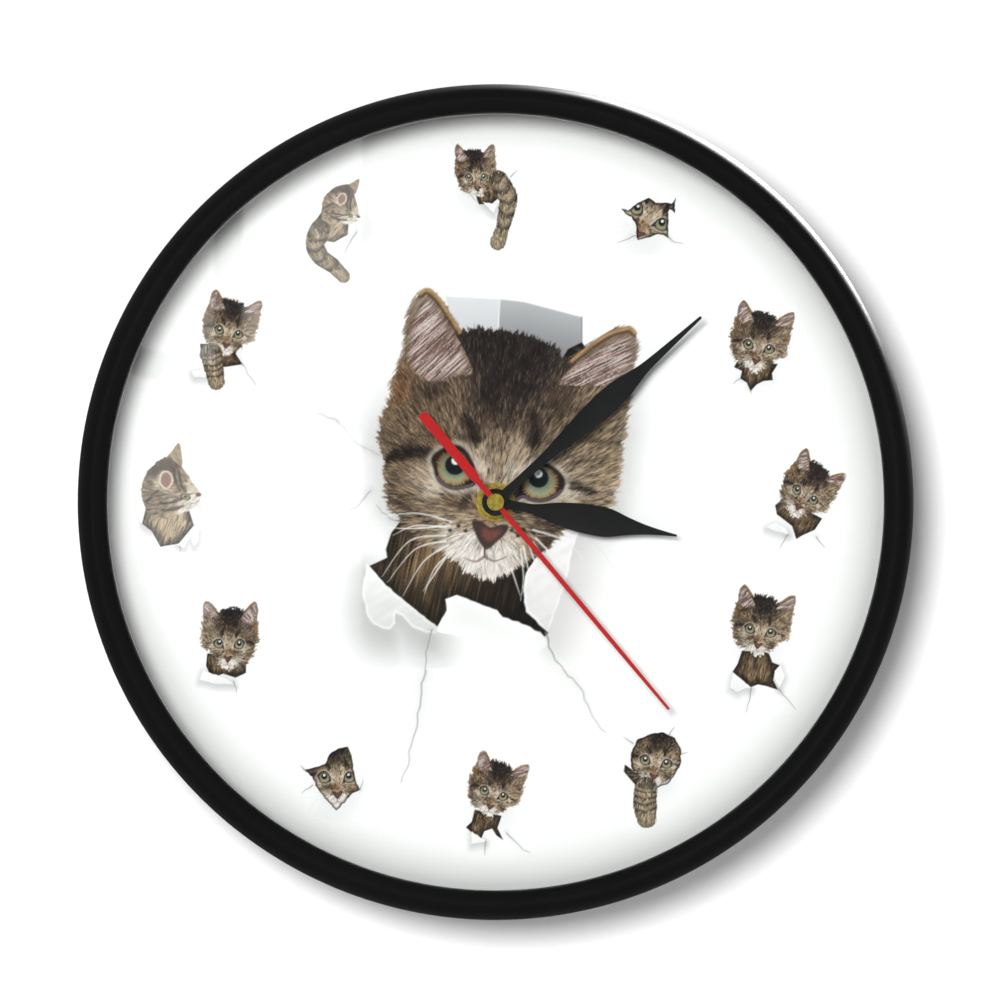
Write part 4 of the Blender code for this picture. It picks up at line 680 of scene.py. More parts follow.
def makeGrainGroup():
    # a fine grain and a slow change of tone, both on the piece's own coordinates
    inputs = [("Grain Size", "NodeSocketFloat", 0.001), ("Patch Size", "NodeSocketFloat", 0.03),
              ("Stretch", "NodeSocketVector", (1.0, 1.0, 1.0))]
    group, given, put = newGroup("surfaceGrain", inputs, ["Grain", "Patch"])
    shape = computeVector(group, "MULTIPLY", objectPlace(group), given["Stretch"]).outputs["Vector"]
    for size, detail, result in (("Grain Size", 3.0, "Grain"), ("Patch Size", 4.0, "Patch")):
        feeds = {"Vector": shape, "Scale": compute(group, "DIVIDE", 1.0, given[size]), "Detail": detail}
        feed(group, put, {result: addNode(group, "ShaderNodeTexNoise", feeds).outputs["Fac"]})
    return group


def makeScuffGroup():
    # sparse fine scratches and specks of dust, as one mask
    inputs = [("Size", "NodeSocketFloat", 0.01), ("Amount", "NodeSocketFloat", 0.1)]
    group, given, put = newGroup("scuffs", inputs, ["Mask"])
    feeds = {"Vector": objectPlace(group), "Scale": compute(group, "DIVIDE", 1.0, given["Size"]),
             "Detail": 2.0}
    wave = addNode(group, "ShaderNodeTexNoise", feeds, noise_type="RIDGED_MULTIFRACTAL")
    reach = mapRange(group, wave.outputs["Fac"], 0.9, 1.6)
    feed(group, put, {"Mask": compute(group, "MULTIPLY", reach, given["Amount"])})
    return group


grainGroup = makeGrainGroup()
scuffGroup = makeScuffGroup()


def useGrain(tree, grain, patch, stretch=(1.0, 1.0, 1.0)):
    feeds = {"Grain Size": grain, "Patch Size": patch, "Stretch": stretch}
    return addNode(tree, "ShaderNodeGroup", feeds, node_tree=grainGroup).outputs


# what a finish has unless it says otherwise; sizes in metres
plainFinish = dict(grain=0.0006, patch=0.02, stretch=(1.0, 1.0, 1.0), scuffSize=0.02, scuff=0.15, relief=0.2,
                   reliefDepth=0.00004, metallic=0.0, coat=0.0, brushed=0.0)


def makeFinish(name, finish):
    # colour and paler patches, grain in roughness and relief, scuffs that lighten or dull it
    finish = {**plainFinish, "worn": finish["second"], **finish}
    material, tree, shader = newMaterial(name)
    grain = useGrain(tree, finish["grain"], finish["patch"], finish["stretch"])
    scuff = addNode(tree, "ShaderNodeGroup", {"Size": finish["scuffSize"], "Amount": finish["scuff"]},
                    node_tree=scuffGroup).outputs["Mask"]
    base = mixColours(tree, mapRange(tree, grain["Patch"], 0.35, 0.65), finish["colour"], finish["second"])
    feed(tree, shader, {
        "Base Color": mixColours(tree, scuff, base, finish["worn"]),
        "Roughness": mapRange(tree, grain["Grain"], 0.3, 0.7, *finish["roughness"]),
        "Normal": reliefFrom(tree, grain["Grain"], finish["relief"], finish["reliefDepth"]),
        "Metallic": finish["metallic"], "Coat Weight": finish["coat"], "Coat Roughness": 0.12,
        "Anisotropic": finish["brushed"]})
    return material


black = dict(colour=(0.0026, 0.0026, 0.0027), second=(0.0036, 0.0036, 0.0037), worn=(0.02, 0.02, 0.02))
finishes = dict(
    frameBlack=dict(black, roughness=(0.36, 0.44), grain=0.0009, patch=0.08, scuff=0.1, relief=0.12,
                    coat=0.06),
    coverBlack=dict(black, colour=(0.018, 0.018, 0.019), second=(0.024, 0.024, 0.025),
                    roughness=(0.5, 0.68), grain=0.0011, relief=0.5, reliefDepth=0.00009, scuff=0.3),
    movementBlack=dict(black, colour=(0.012, 0.012, 0.013), second=(0.016, 0.016, 0.017),
                       roughness=(0.42, 0.58), grain=0.0007, relief=0.4, reliefDepth=0.00006),
    handBlack=dict(black, colour=(0.0055, 0.0055, 0.0056), second=(0.007, 0.007, 0.0072),
                   roughness=(0.42, 0.52), grain=0.0004, patch=0.02, scuff=0.08, relief=0.1),
    handRed=dict(colour=(0.52, 0.013, 0.014), second=(0.47, 0.011, 0.012), worn=(0.56, 0.03, 0.03),
                 roughness=(0.36, 0.46), grain=0.0004, scuff=0.06, relief=0.1),
    whitePlastic=dict(colour=(0.84, 0.84, 0.83), second=(0.8, 0.8, 0.79), roughness=(0.4, 0.52),
                      grain=0.0008, scuff=0.1, relief=0.2),
    fibreboard=dict(colour=(0.30, 0.20, 0.12), second=(0.22, 0.145, 0.085), worn=(0.38, 0.28, 0.18),
                    roughness=(0.75, 0.9), grain=0.0014, patch=0.008, stretch=(1.0, 1.0, 0.35), scuff=0.5,
                    relief=0.7, reliefDepth=0.00012),
    zincSteel=dict(colour=(0.60, 0.61, 0.62), second=(0.52, 0.54, 0.57), worn=(0.42, 0.42, 0.42),
                   metallic=1.0, roughness=(0.22, 0.38), grain=0.0007, patch=0.006, scuff=0.35, relief=0.2),
    rolledSteel=dict(colour=(0.56, 0.56, 0.56), second=(0.48, 0.48, 0.49), metallic=1.0,
                     roughness=(0.25, 0.42), grain=0.0008, stretch=(0.12, 1.0, 1.0), scuff=0.2, relief=0.25,
                     brushed=0.4),
    brass=dict(colour=(0.60, 0.47, 0.08), second=(0.30, 0.23, 0.03), worn=(0.8, 0.68, 0.22), metallic=0.35,
               roughness=(0.2, 0.4), grain=0.0009, patch=0.0018, scuff=0.4, scuffSize=0.003, relief=0.35,
               reliefDepth=0.00005),
    magnetBlack=dict(colour=(0.08, 0.08, 0.085), second=(0.05, 0.05, 0.055), metallic=0.6,
                     roughness=(0.45, 0.6), relief=0.2),
    copperWire=dict(colour=(0.72, 0.30, 0.13), second=(0.58, 0.21, 0.08), metallic=1.0,
                    roughness=(0.2, 0.35), grain=0.00025, stretch=(6.0, 0.3, 0.3), relief=0.8,
                    reliefDepth=0.00008),
    rubber=dict(colour=(0.018, 0.018, 0.018), second=(0.026, 0.026, 0.026), roughness=(0.75, 0.9),
                relief=0.4, reliefDepth=0.00008),
    circuitGreen=dict(colour=(0.015, 0.12, 0.05), second=(0.01, 0.08, 0.035), roughness=(0.3, 0.45),
                      grain=0.0005, coat=0.4),
    chipBlack=dict(black, colour=(0.016, 0.016, 0.017), second=(0.022, 0.022, 0.022), roughness=(0.5, 0.65),
                   relief=0.5),
    knobGrey=dict(colour=(0.20, 0.205, 0.21), second=(0.17, 0.175, 0.18), worn=(0.3, 0.3, 0.3),
                  roughness=(0.42, 0.55), scuff=0.3),
    cellJacket=dict(colour=(0.02, 0.10, 0.045), second=(0.018, 0.085, 0.04), worn=(0.1, 0.2, 0.12),
                    roughness=(0.22, 0.34), grain=0.001, scuff=0.2, coat=0.5, relief=0.1),
    cellBand=dict(colour=(0.55, 0.42, 0.16), second=(0.48, 0.36, 0.13), metallic=0.7,
                  roughness=(0.25, 0.38), scuff=0.2, coat=0.4))
looks = {name: makeFinish(name, finish) for name, finish in finishes.items()}


def makeGlass():
    # clear to light that only shades the dial; the reflection comes from the shader
    material, tree, shader = newMaterial("clearGlass")
    feed(tree, shader, {"Base Color": (0.99, 1.0, 0.995, 1.0), "Transmission Weight": 1.0, "Roughness": 0.015,
                        "IOR": 1.5})
    clear = addNode(tree, "ShaderNodeBsdfTransparent", {"Color": (0.95, 0.955, 0.95, 1.0)})
    mixShaders(tree, addNode(tree, "ShaderNodeLightPath").outputs["Is Shadow Ray"], shader, clear)
    return material


def makePrint(rim):
    # the printed sheet: drawn colours, a painted shade towards the rim that stands in for the frame's shadow
    # on the dial, and a little paper grain
    material, tree, shader = newMaterial("dialPrintAndShade")
    flat = computeVector(tree, "MULTIPLY", objectPlace(tree), (1.0, 0.0, 1.0)).outputs["Vector"]
    radius = computeVector(tree, "LENGTH", flat).outputs["Value"]
    # painted shade: the colour darkens towards the rim, standing in for the frame's shadow on the dial
    bend = compute(tree, "POWER", mapRange(tree, radius, rim["starts"], rim["ends"]), rim["curve"])
    shade = mapRange(tree, bend, 0.0, 1.0, 1.0, 1.0 - rim["depth"])
    grain = useGrain(tree, 0.0005, 0.05)
    tooth = mapRange(tree, grain["Grain"], 0.0, 1.0, 0.994, 1.0)
    ink = addNode(tree, "ShaderNodeAttribute", attribute_name="ink").outputs["Color"]
    inked = computeVector(tree, "SCALE", ink)
    feed(tree, inked, {"Scale": compute(tree, "MULTIPLY", shade, tooth)})
    feed(tree, shader, {
        "Base Color": inked.outputs["Vector"],
        "Roughness": mapRange(tree, grain["Patch"], 0.0, 1.0, 0.55, 0.7),
        "Normal": reliefFrom(tree, grain["Grain"], 0.02, 0.00002), "Specular IOR Level": 0.25})
    return material


# painted shade at the dial's rim: where it starts and ends in metres, its curve, and how much it darkens
paintedRimShade = dict(starts=0.122, ends=0.138, curve=1.72, depth=0.45)
looks["clearGlass"] = makeGlass()
looks["dialPrintAndShade"] = makePrint(paintedRimShade)
print("finishes made:", len(looks))


def addPiece(name, mesh, look, body, slot, *nodes):
    piece = inScene(name, mesh)
    if look:
        mesh.materials.clear()
        mesh.materials.append(looks[look])
    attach(piece, body)
    if nodes:
        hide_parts(*nodes)
    return piece


def meshFrom(name, work, smoothAngle=35.0):
    bmesh.ops.recalc_face_normals(work, faces=work.faces)
    mesh = bpy.data.meshes.new(name)
    work.to_mesh(mesh)
    work.free()
    mesh.shade_smooth()
    mesh.set_sharp_from_angle(angle=math.radians(smoothAngle))
    return mesh


def roundedProfile(corners, radius, steps=4):
    # corners are (x, y, share): each is rounded by its share of the radius
    points = []
    count = len(corners)
    for i, (x, y, share) in enumerate(corners):
        here = np.array((x, y))
        before, after = np.array(corners[i - 1][:2]) - here, np.array(corners[(i + 1) % count][:2]) - here
        reach = min(radius * share, 0.45 * np.hypot(*before), 0.45 * np.hypot(*after))
        if reach <= 0:
            points.append(tuple(here))
            continue
        start, end = here + before / np.hypot(*before) * reach, here + after / np.hypot(*after) * reach
        for k in range(steps + 1):
            t = k / steps
            points.append(tuple((1 - t)**2 * start + 2 * t * (1 - t) * here + t * t * end))
    return points


def turnedMesh(name, profile, steps, centre=(0.0, 0.0), smoothAngle=35.0):
    # a closed profile of (radius, y) spun about an axis along Y; one that touches the axis is closed there
    work = bmesh.new()
    rings = [work.verts.new((radius, y, 0.0)) for radius, y in profile]
    for i in range(len(rings)):
        a, b = rings[i - 1], rings[i]
        if profile[i - 1][0] > 0.0 or profile[i][0] > 0.0:
            work.edges.new((a, b))
    bmesh.ops.spin(work, geom=work.verts[:] + work.edges[:], cent=(0.0, 0.0, 0.0), axis=(0.0, 1.0, 0.0),
                   angle=2.0 * math.pi, steps=steps, use_merge=True, use_duplicate=False)
    bmesh.ops.remove_doubles(work, verts=work.verts[:], dist=0.000001)
    bmesh.ops.translate(work, verts=work.verts[:], vec=(centre[0], 0.0, centre[1]))
    return meshFrom(name, work, smoothAngle)


def plateMesh(name, outline, rear, front, edge, holes=()):
    # a flat outline in X and Z with holes; its front and rear edges are rounded by the edge, in metres
    work = bmesh.new()
    for loop in [outline, *holes]:
        corners = [work.verts.new((x, rear, z)) for x, z in loop]
        for i, corner in enumerate(corners):
            work.edges.new((corner, corners[i - 1]))
    bmesh.ops.triangle_fill(work, edges=work.edges[:], use_beauty=True, use_dissolve=False)
    grown = bmesh.ops.extrude_face_region(work, geom=work.faces[:])
    moved = [item for item in grown["geom"] if isinstance(item, bmesh.types.BMVert)]
    bmesh.ops.translate(work, verts=moved, vec=(0.0, front - rear, 0.0))
    bmesh.ops.recalc_face_normals(work, faces=work.faces)
    level = [line for line in work.edges if abs(line.verts[0].co.y - line.verts[1].co.y) < edge * 0.1]
    rims = [line for line in level
            if len(line.link_faces) == 2 and line.calc_face_angle(0.0) > math.radians(60.0)]
    bmesh.ops.bevel(work, geom=rims, offset=edge, segments=2, profile=0.6, affect="EDGES")
    return meshFrom(name, work, 40.0)


def ring(radius, steps, centre=(0.0, 0.0)):
    return [(centre[0] + radius * math.cos(2 * math.pi * i / steps),
             centre[1] + radius * math.sin(2 * math.pi * i / steps))
            for i in range(steps)]


def turnedPiece(name, corners, look, body, slot, node, edge=0.15, steps=96, centre=(0.0, 0.0)):
    # corners are (radius, y) in metres; those off the axis are rounded by the edge, in millimetres
    shared = [(radius, y, 1.0 if radius > 0 else 0.0) for radius, y in corners]
    mesh = turnedMesh(name, roundedProfile(shared, edge * mm), steps, centre)
    return addPiece(name, mesh, look, body, slot, node)


# frame ring: a smooth rounded bead with a lip over the glass
frameSizes = dict(crown=144.5 * mm, opening=139.0 * mm, bore=142.6 * mm, rebate=146.3 * mm, taper=1.0 * mm,
                  shoulder=11.0 * mm,
                  lipFall=3.0 * mm, ledge=3.3 * mm, around=240, arc=22)


def makeFrameRing(sizes):
    low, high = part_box("frame_ring")
    outer, front, wall = high.x, low.y, high.y
    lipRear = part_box("glass_lens")[0].y - 0.3 * mm
    shoulder = front + sizes["shoulder"]
    profile = [(outer - sizes["taper"] + 0.0006, wall), (outer - sizes["taper"], wall - 0.0006)]
    for i in range(1, 4):
        profile.append((outer - sizes["taper"] * (1 - i / 4)**2, wall + (shoulder - wall) * i / 4))
    for i in range(sizes["arc"] + 1):
        turn = math.pi / 2 * i / sizes["arc"]
        profile.append((sizes["crown"] + (outer - sizes["crown"]) * math.cos(turn),
                        shoulder - sizes["shoulder"] * math.sin(turn)))
    for i in range(1, sizes["arc"] + 1):
        turn = math.pi / 2 * i / sizes["arc"]
        profile.append((sizes["crown"] - (sizes["crown"] - sizes["opening"]) * math.sin(turn),
                        front + sizes["lipFall"] * (1 - math.cos(turn))))
    profile += [(sizes["opening"], lipRear - 0.0003), (sizes["opening"] + 0.0003, lipRear),
                (sizes["bore"], lipRear),
                (sizes["bore"], wall - sizes["ledge"]), (sizes["rebate"], wall - sizes["ledge"]),
                (sizes["rebate"], wall - 0.0004),
                (sizes["rebate"] + 0.0004, wall)]
    mesh = turnedMesh("frameRing", profile, sizes["around"], smoothAngle=40.0)
    addPiece("frameRing", mesh, "frameBlack", "case", "frame_black", "frame_ring")


makeFrameRing(frameSizes)


def makeGlassAndSpacer():
    low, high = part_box("glass_lens")
    edge = 0.35 * mm
    outline = [(0.0, high.y), (high.x - edge, high.y), (high.x, high.y - edge), (high.x, low.y + edge),
               (high.x - edge, low.y), (0.0, low.y)]
    addPiece("glassLens", turnedMesh("glassLens", outline, 240, smoothAngle=30.0), "clearGlass", "case",
             "clear_glass", "glass_lens")
    low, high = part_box("spacer_ring")
    wall = 2.7 * mm
    turnedPiece("spacerRing", [(high.x - wall, high.y), (high.x, high.y), (high.x, low.y),
                               (high.x - wall, low.y)], "whitePlastic",
                "case", "white_plastic", "spacer_ring", 0.3, 240)


makeGlassAndSpacer()
print("frame and glass made")


def toLinear(colours):
    share = np.clip(colours / 255.0, 0, 1)
    return np.where(share <= 0.04045, share / 12.92, ((share + 0.055) / 1.055)**2.4)


def addInk(mesh, colours):
    layer = mesh.color_attributes.new("ink", "FLOAT_COLOR", "POINT")
    values = np.ones((len(mesh.vertices), 4), np.float32)
    values[:, :3] = toLinear(colours)
    layer.data.foreach_set("color", values.ravel())


def printedSlab(name, canvas, rows, front, thickness):
    # a thin closed slab whose front has one vertex for each cell of the drawing
    x, z = canvas["x"][rows] * mm, canvas["z"][rows] * mm
    colours = canvas["rgb"][rows].reshape(-1, 3)
    tall, wide = x.shape
    count = tall * wide
    index = np.arange(count).reshape(tall, wide)
    corners = [index[:-1, :-1], index[:-1, 1:], index[1:, 1:], index[1:, :-1]]
    faces = np.stack([part.ravel() for part in corners], -1).tolist()
    rim = np.concatenate([index[0, :-1], index[:-1, -1], index[-1, :0:-1], index[:0:-1, 0]])
    behind = count + np.arange(len(rim))
    middle = count + len(rim)
    nextRim, nextBehind = np.roll(rim, -1), np.roll(behind, -1)
    faces += np.stack([rim, behind, nextBehind, nextRim], -1).tolist()
    faces += np.stack([behind, np.full(len(rim), middle), nextBehind], -1).tolist()
    flat = np.stack([x.ravel(), np.full(count, front), z.ravel()], -1)
    back = flat[rim] + np.array([0.0, thickness, 0.0])
    centre = np.array([[x.mean(), front + thickness, z.mean()]])
    mesh = bpy.data.meshes.new(name)
    mesh.from_pydata(np.vstack([flat, back, centre]).tolist(), [], faces)
    addInk(mesh, np.vstack([colours, colours[rim], [paper]]))
    # the front fills the baked picture, the edge and back share its top strip
    unfold = mesh.uv_layers.new(name="OFBake")
    loops = np.empty(len(mesh.loops), np.int32)
    mesh.loops.foreach_get("vertex_index", loops)
    points = np.vstack([flat, back, centre])[loops]
    across = (points[:, 0] - x.min()) / (x.max() - x.min())
    up = (points[:, 2] - z.min()) / (z.max() - z.min())
    isFront = np.arange(len(loops)) < 4 * (tall - 1) * (wide - 1)
    spread = np.stack([0.01 + 0.98 * across, np.where(isFront, 0.01 + 0.95 * up, 0.975 + 0.015 * up)], -1)
    unfold.data.foreach_set("uv", spread.astype(np.float32).ravel())
    return mesh


def makeDial():
    low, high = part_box("dial_sheet")
    front, rear = low.y, high.y
    hole = 4.2 * mm
    base = plateMesh("dialSheet", ring(high.x, 240), rear, front, 0.05 * mm, [ring(hole, 48)])
    addInk(base, np.full((len(base.vertices), 3), paper[0]))
    addPiece("dialSheet", base, "dialPrintAndShade", "case", "dial_print", "dial_sheet")
    proud, thickness = 0.02 * mm, 0.015 * mm
    big = makeCanvas((-56, 56), (-60, 78), 0.33)
    paintBigKitten(big)
    clearBushing(big)
    splitRow = big["x"].shape[0] // 2
    for number, rows in enumerate((slice(0, splitRow + 1), slice(splitRow, None)), 1):
        mesh = printedSlab(f"bigKitten{number}", big, rows, front - proud, thickness)
        addPiece(f"bigKitten{number}", mesh, "dialPrintAndShade", "case", "dial_print", "dial_sheet")
    for name, span, height, tears in paperTears:
        canvas = makeCanvas(span, height, 0.36)
        for number, (points, width, dark) in enumerate(tears):
            paintCrack(canvas, points, 80 + number, width, dark)
        mesh = printedSlab(name, canvas, slice(None), front - proud, thickness)
        addPiece(name, mesh, "dialPrintAndShade", "case", "dial_print", "dial_sheet")
    for kitten in smallKittens:
        mesh = printedSlab(kitten["name"], paintSmallKitten(kitten), slice(None), front - proud, thickness)
        addPiece(kitten["name"], mesh, "dialPrintAndShade", "case", "dial_print", "dial_sheet")
        print("painted", kitten["name"])


# the long tears that run out from the big drawing: across span, height span, and each tear's points
paperTears = [
    ("lowerLeftTear", (-38, -20), (-105, -60.1),
     [([(-25.2, -59), (-27, -71), (-29, -83), (-31, -92), (-34, -101)], 0.7, 165)]),
    ("lowerRightTear", (18, 44), (-87, -60.1),
     [([(21.5, -57), (25, -61), (30.7, -67), (34.3, -76), (39.7, -83)], 0.6, 165)]),
    ("leftTear", (-68, -56.1), (14, 36), [([(-54.5, 27), (-58, 30), (-64.5, 31.7)], 0.5, 180)])]


def clearBushing(canvas):
    # the bushing's hole in the sheet stays plain paper under the washer
    cover(canvas, soft(4.6 - np.hypot(canvas["x"], canvas["z"]), 0.6), paper)


makeDial()
print("dial made")


def handOutline(hand):
    # stations are (distance, half width), each side a smooth curve; a tail is the same the other way
    turn = math.radians(hand["angle"])

    def place(along, across):
        x = along * math.sin(turn) + across * math.cos(turn)
        z = along * math.cos(turn) - across * math.sin(turn)
        return x * mm, z * mm

    def side(stations, way):
        path = curveThrough([(station * way, half) for station, half in stations], False, 6)
        return path[:, 0], np.maximum(path[:, 1], stations[-1][1] * 0.9)

    boss = hand["boss"]
    root = hand["stations"][0][1]
    along, half = side(hand["stations"], 1)
    points = [place(a, h) for a, h in zip(along, half)]
    points += [place(a, -h) for a, h in zip(along[::-1], half[::-1])]
    startTurn = math.asin(min(1.0, root / boss))
    if "tail" in hand:
        tailRoot = math.asin(min(1.0, hand["tail"][0][1] / boss))
        tailAlong, tailHalf = side(hand["tail"], -1)
        arc = np.linspace(startTurn, math.pi - tailRoot, 14)
        near = [(boss * math.cos(t), boss * math.sin(t)) for t in arc]
        points += [place(a, -c) for a, c in near]
        points += [place(a, -h) for a, h in zip(tailAlong, tailHalf)]
        points += [place(a, h) for a, h in zip(tailAlong[::-1], tailHalf[::-1])]
        points += [place(a, c) for a, c in near[::-1]]
    else:
        arc = np.linspace(startTurn, 2 * math.pi - startTurn, 40)
        points += [place(boss * math.cos(t), -boss * math.sin(t)) for t in arc]
    return points


hands = [
    dict(node="hour_hand", name="hourHand", body="hour_train", slot="hand_black", look="handBlack",
         angle=100.5, boss=4.9, hole=2.25,
         stations=[(4.5, 1.75), (12, 1.7), (16, 2.3), (22, 3.9), (30, 5.1), (37, 5.4), (42, 5.0), (48, 3.3),
                   (54, 1.9), (60, 1.0), (66.2, 0.35)]),
    dict(node="minute_hand", name="minuteHand", body="minute_train", slot="hand_black", look="handBlack",
         angle=48.0, boss=4.7, hole=1.45,
         stations=[(4.3, 1.7), (12, 1.6), (24, 1.9), (34, 2.9), (44, 4.0), (54, 4.4), (61, 4.0), (67, 2.8),
                   (73, 1.8), (86, 1.1), (99.3, 0.5)]),
    dict(node="second_hand", name="secondHand", body="second_train", slot="hand_red", look="handRed",
         angle=140.1, boss=2.9, hole=0.55,
         stations=[(2.6, 1.0), (30, 0.9), (70, 0.75), (97, 0.5)],
         tail=[(2.6, 1.05), (10, 1.05), (12.5, 1.7), (26, 1.7), (39.8, 1.7), (41.4, 0.8)])]


def makeHands():
    for hand in hands:
        low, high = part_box(hand["node"])
        mesh = plateMesh(hand["name"], handOutline(hand), high.y, low.y, 0.12 * mm,
                         [ring(hand["hole"] * mm, 40)])
        addPiece(hand["name"], mesh, hand["look"], hand["body"], hand["slot"], hand["node"])


makeHands()
print("hands made")

brassRings = dict(
    brassWasher=dict(node="brass_washer", inner=4.25, edge=0.12, body="case"),
    bushingNut=dict(node="bushing_nut", inner=4.1, edge=0.4, body="case"),
    hourCollet=dict(node="hour_collet", inner=2.25, edge=0.2, body="hour_train"),
    minuteCollet=dict(node="minute_collet", inner=1.45, edge=0.2, body="minute_train"))


def makeBrassPieces():
    for name, piece in brassRings.items():
        low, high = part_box(piece["node"])
        inner = piece["inner"] * mm
        corners = [(inner, high.y), (high.x, high.y), (high.x, low.y), (inner, low.y)]
        turnedPiece(name, corners, "brass", piece["body"], "brass", piece["node"], piece["edge"], 96)
    # the cap: a low dome inside a raised rim
    low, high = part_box("second_hand_cap")
    radius, rim = high.x, 0.5 * mm
    dome = [(0.0, low.y + 0.1 * mm)]
    for i in range(1, 7):
        along = i / 6 * (radius - rim)
        dome.append((along, low.y + 0.1 * mm + 0.25 * mm * (i / 6)**2))
    corners = dome + [
        (radius - 0.8 * rim, low.y + 0.1 * mm), (radius - 0.55 * rim, low.y),
                      (radius - 0.3 * rim, low.y + 0.03 * mm),
        (radius, low.y + 0.3 * mm), (radius, high.y - 0.1 * mm), (radius - 0.1 * mm, high.y), (0.0, high.y)]
    cap = turnedMesh("secondHandCap", corners, 72)
    addPiece("secondHandCap", cap, "brass", "second_train", "brass", "second_hand_cap")


makeBrassPieces()


def makeRepeatTree(name, unit):
    # copies of the unit mesh on a circle in X and Z, each turned outwards and then by a random angle about Y
    tree = bpy.data.node_groups.new(name, "GeometryNodeTree")
    tree.interface.new_socket(name="Geometry", in_out="OUTPUT", socket_type="NodeSocketGeometry")
    sockets = dict(Count="Int", Radius="Float", Offset="Vector", Start="Float", Wobble="Float", Seed="Int",
                   Finish="Material")
    for label, kind in sockets.items():
        tree.interface.new_socket(name=label, in_out="INPUT", socket_type="NodeSocket" + kind)
    given, put = tree.nodes.new("NodeGroupInput").outputs, tree.nodes.new("NodeGroupOutput")
    circle = addNode(tree, "GeometryNodeMeshCircle", dict(Vertices=given["Count"], Radius=given["Radius"]))
    turn = addNode(tree, "ShaderNodeCombineXYZ", dict(X=math.pi / 2, Y=given["Start"]))
    stand = addNode(tree, "GeometryNodeTransform", dict(
        Geometry=circle.outputs["Mesh"], Rotation=turn.outputs["Vector"], Translation=given["Offset"]))
    share = compute(tree, "DIVIDE", addNode(tree, "GeometryNodeInputIndex").outputs["Index"], given["Count"])
    angle = compute(tree, "MULTIPLY_ADD", share, -2 * math.pi, given["Start"])
    chance = addNode(tree, "FunctionNodeRandomValue", {3: given["Wobble"], "Seed": given["Seed"]},
                     data_type="FLOAT")
    aim = addNode(tree, "ShaderNodeCombineXYZ", dict(Y=compute(tree, "ADD", angle, chance.outputs[1])))
    shape = addNode(tree, "GeometryNodeObjectInfo", dict(Object=unit))
    copies = addNode(tree, "GeometryNodeInstanceOnPoints", dict(
        Points=stand.outputs["Geometry"], Instance=shape.outputs["Geometry"], Rotation=aim.outputs["Vector"]))
    real = addNode(tree, "GeometryNodeRealizeInstances", dict(Geometry=copies.outputs["Instances"]))
    finish = addNode(tree, "GeometryNodeSetMaterial", dict(
        Geometry=real.outputs["Geometry"], Material=given["Finish"]))
    feed(tree, put, dict(Geometry=finish.outputs["Geometry"]))
    return tree


def repeatRound(name, unitMesh, values, body, slot, *nodes):
    # values are the tree's inputs by name; the result is one plain mesh with its place in it
    unit = inScene(name + "Unit", unitMesh)
    tree = makeRepeatTree(name + "Tree", unit)
    host = inScene(name + "Host", bpy.data.meshes.new(name + "Host"))
    modifier = host.modifiers.new("repeat", "NODES")
    modifier.node_group = tree
    for item in tree.interface.items_tree:
        if item.in_out == "INPUT" and item.name in values:
            modifier[item.identifier] = values[item.name]
    graph = bpy.context.evaluated_depsgraph_get()
    mesh = bpy.data.meshes.new_from_object(host.evaluated_get(graph), preserve_all_data_layers=True,
                                           depsgraph=graph)
    mesh.name = name
    bpy.data.objects.remove(host)
    bpy.data.objects.remove(unit)
    return addPiece(name, mesh, None, body, slot, *nodes)


def screwMesh(name, sizes):
    # a pan head with a cross recess, on a shank with ring threads; the head faces +Y and its top is at 0
    head, height, shank, length = sizes["head"], sizes["height"], sizes["shank"], sizes["length"]
    profile = [(0.0, -0.0002 * height)]
    for i in range(1, 7):
        turn = math.pi / 2 * i / 6
        profile.append((head * (0.45 + 0.55 * math.sin(turn)), -0.75 * height * (1 - math.cos(turn))))
    profile += [(head, -height), (shank * 0.8, -height)]
    threads = int((length - height) / sizes["pitch"]) - 1
    for i in range(threads):
        start = -height - sizes["pitch"] * (i + 0.3)
        profile += [(shank * 0.8, start), (shank, start - sizes["pitch"] * 0.4),
                    (shank * 0.8, start - sizes["pitch"] * 0.8)]
    profile += [(shank * 0.75, -length + 0.4 * shank), (0.0, -length)]
    body = inScene(name + "Body", turnedMesh(name + "Body", profile, 28))
    work = bmesh.new()
    reach, half, deep = head * 0.62, head * 0.12, height * 0.7
    for across in (0, 1):
        block = bmesh.ops.create_cube(work, size=2.0)["verts"]
        wide, tall = (reach, half) if across else (half, reach)
        for corner in block:
            taper = 1.0 if corner.co.y > 0 else 0.6
            corner.co = (corner.co.x * wide * taper, corner.co.y * deep, corner.co.z * tall * taper)
    cutter = inScene(name + "Cut", meshFrom(name + "Cut", work))
    cut = body.modifiers.new("recess", "BOOLEAN")
    cut.operation, cut.solver, cut.object, cut.use_self = "DIFFERENCE", "EXACT", cutter, True
    graph = bpy.context.evaluated_depsgraph_get()
    mesh = bpy.data.meshes.new_from_object(body.evaluated_get(graph), depsgraph=graph)
    mesh.shade_smooth()
    mesh.set_sharp_from_angle(angle=math.radians(35.0))
    bpy.data.objects.remove(body)
    bpy.data.objects.remove(cutter)
    return mesh


screwSizes = dict(head=1.55 * mm, height=0.8 * mm, shank=1.2 * mm, length=8.0 * mm, pitch=0.7 * mm)
hangerSizes = dict(screwSizes, length=4.6 * mm)


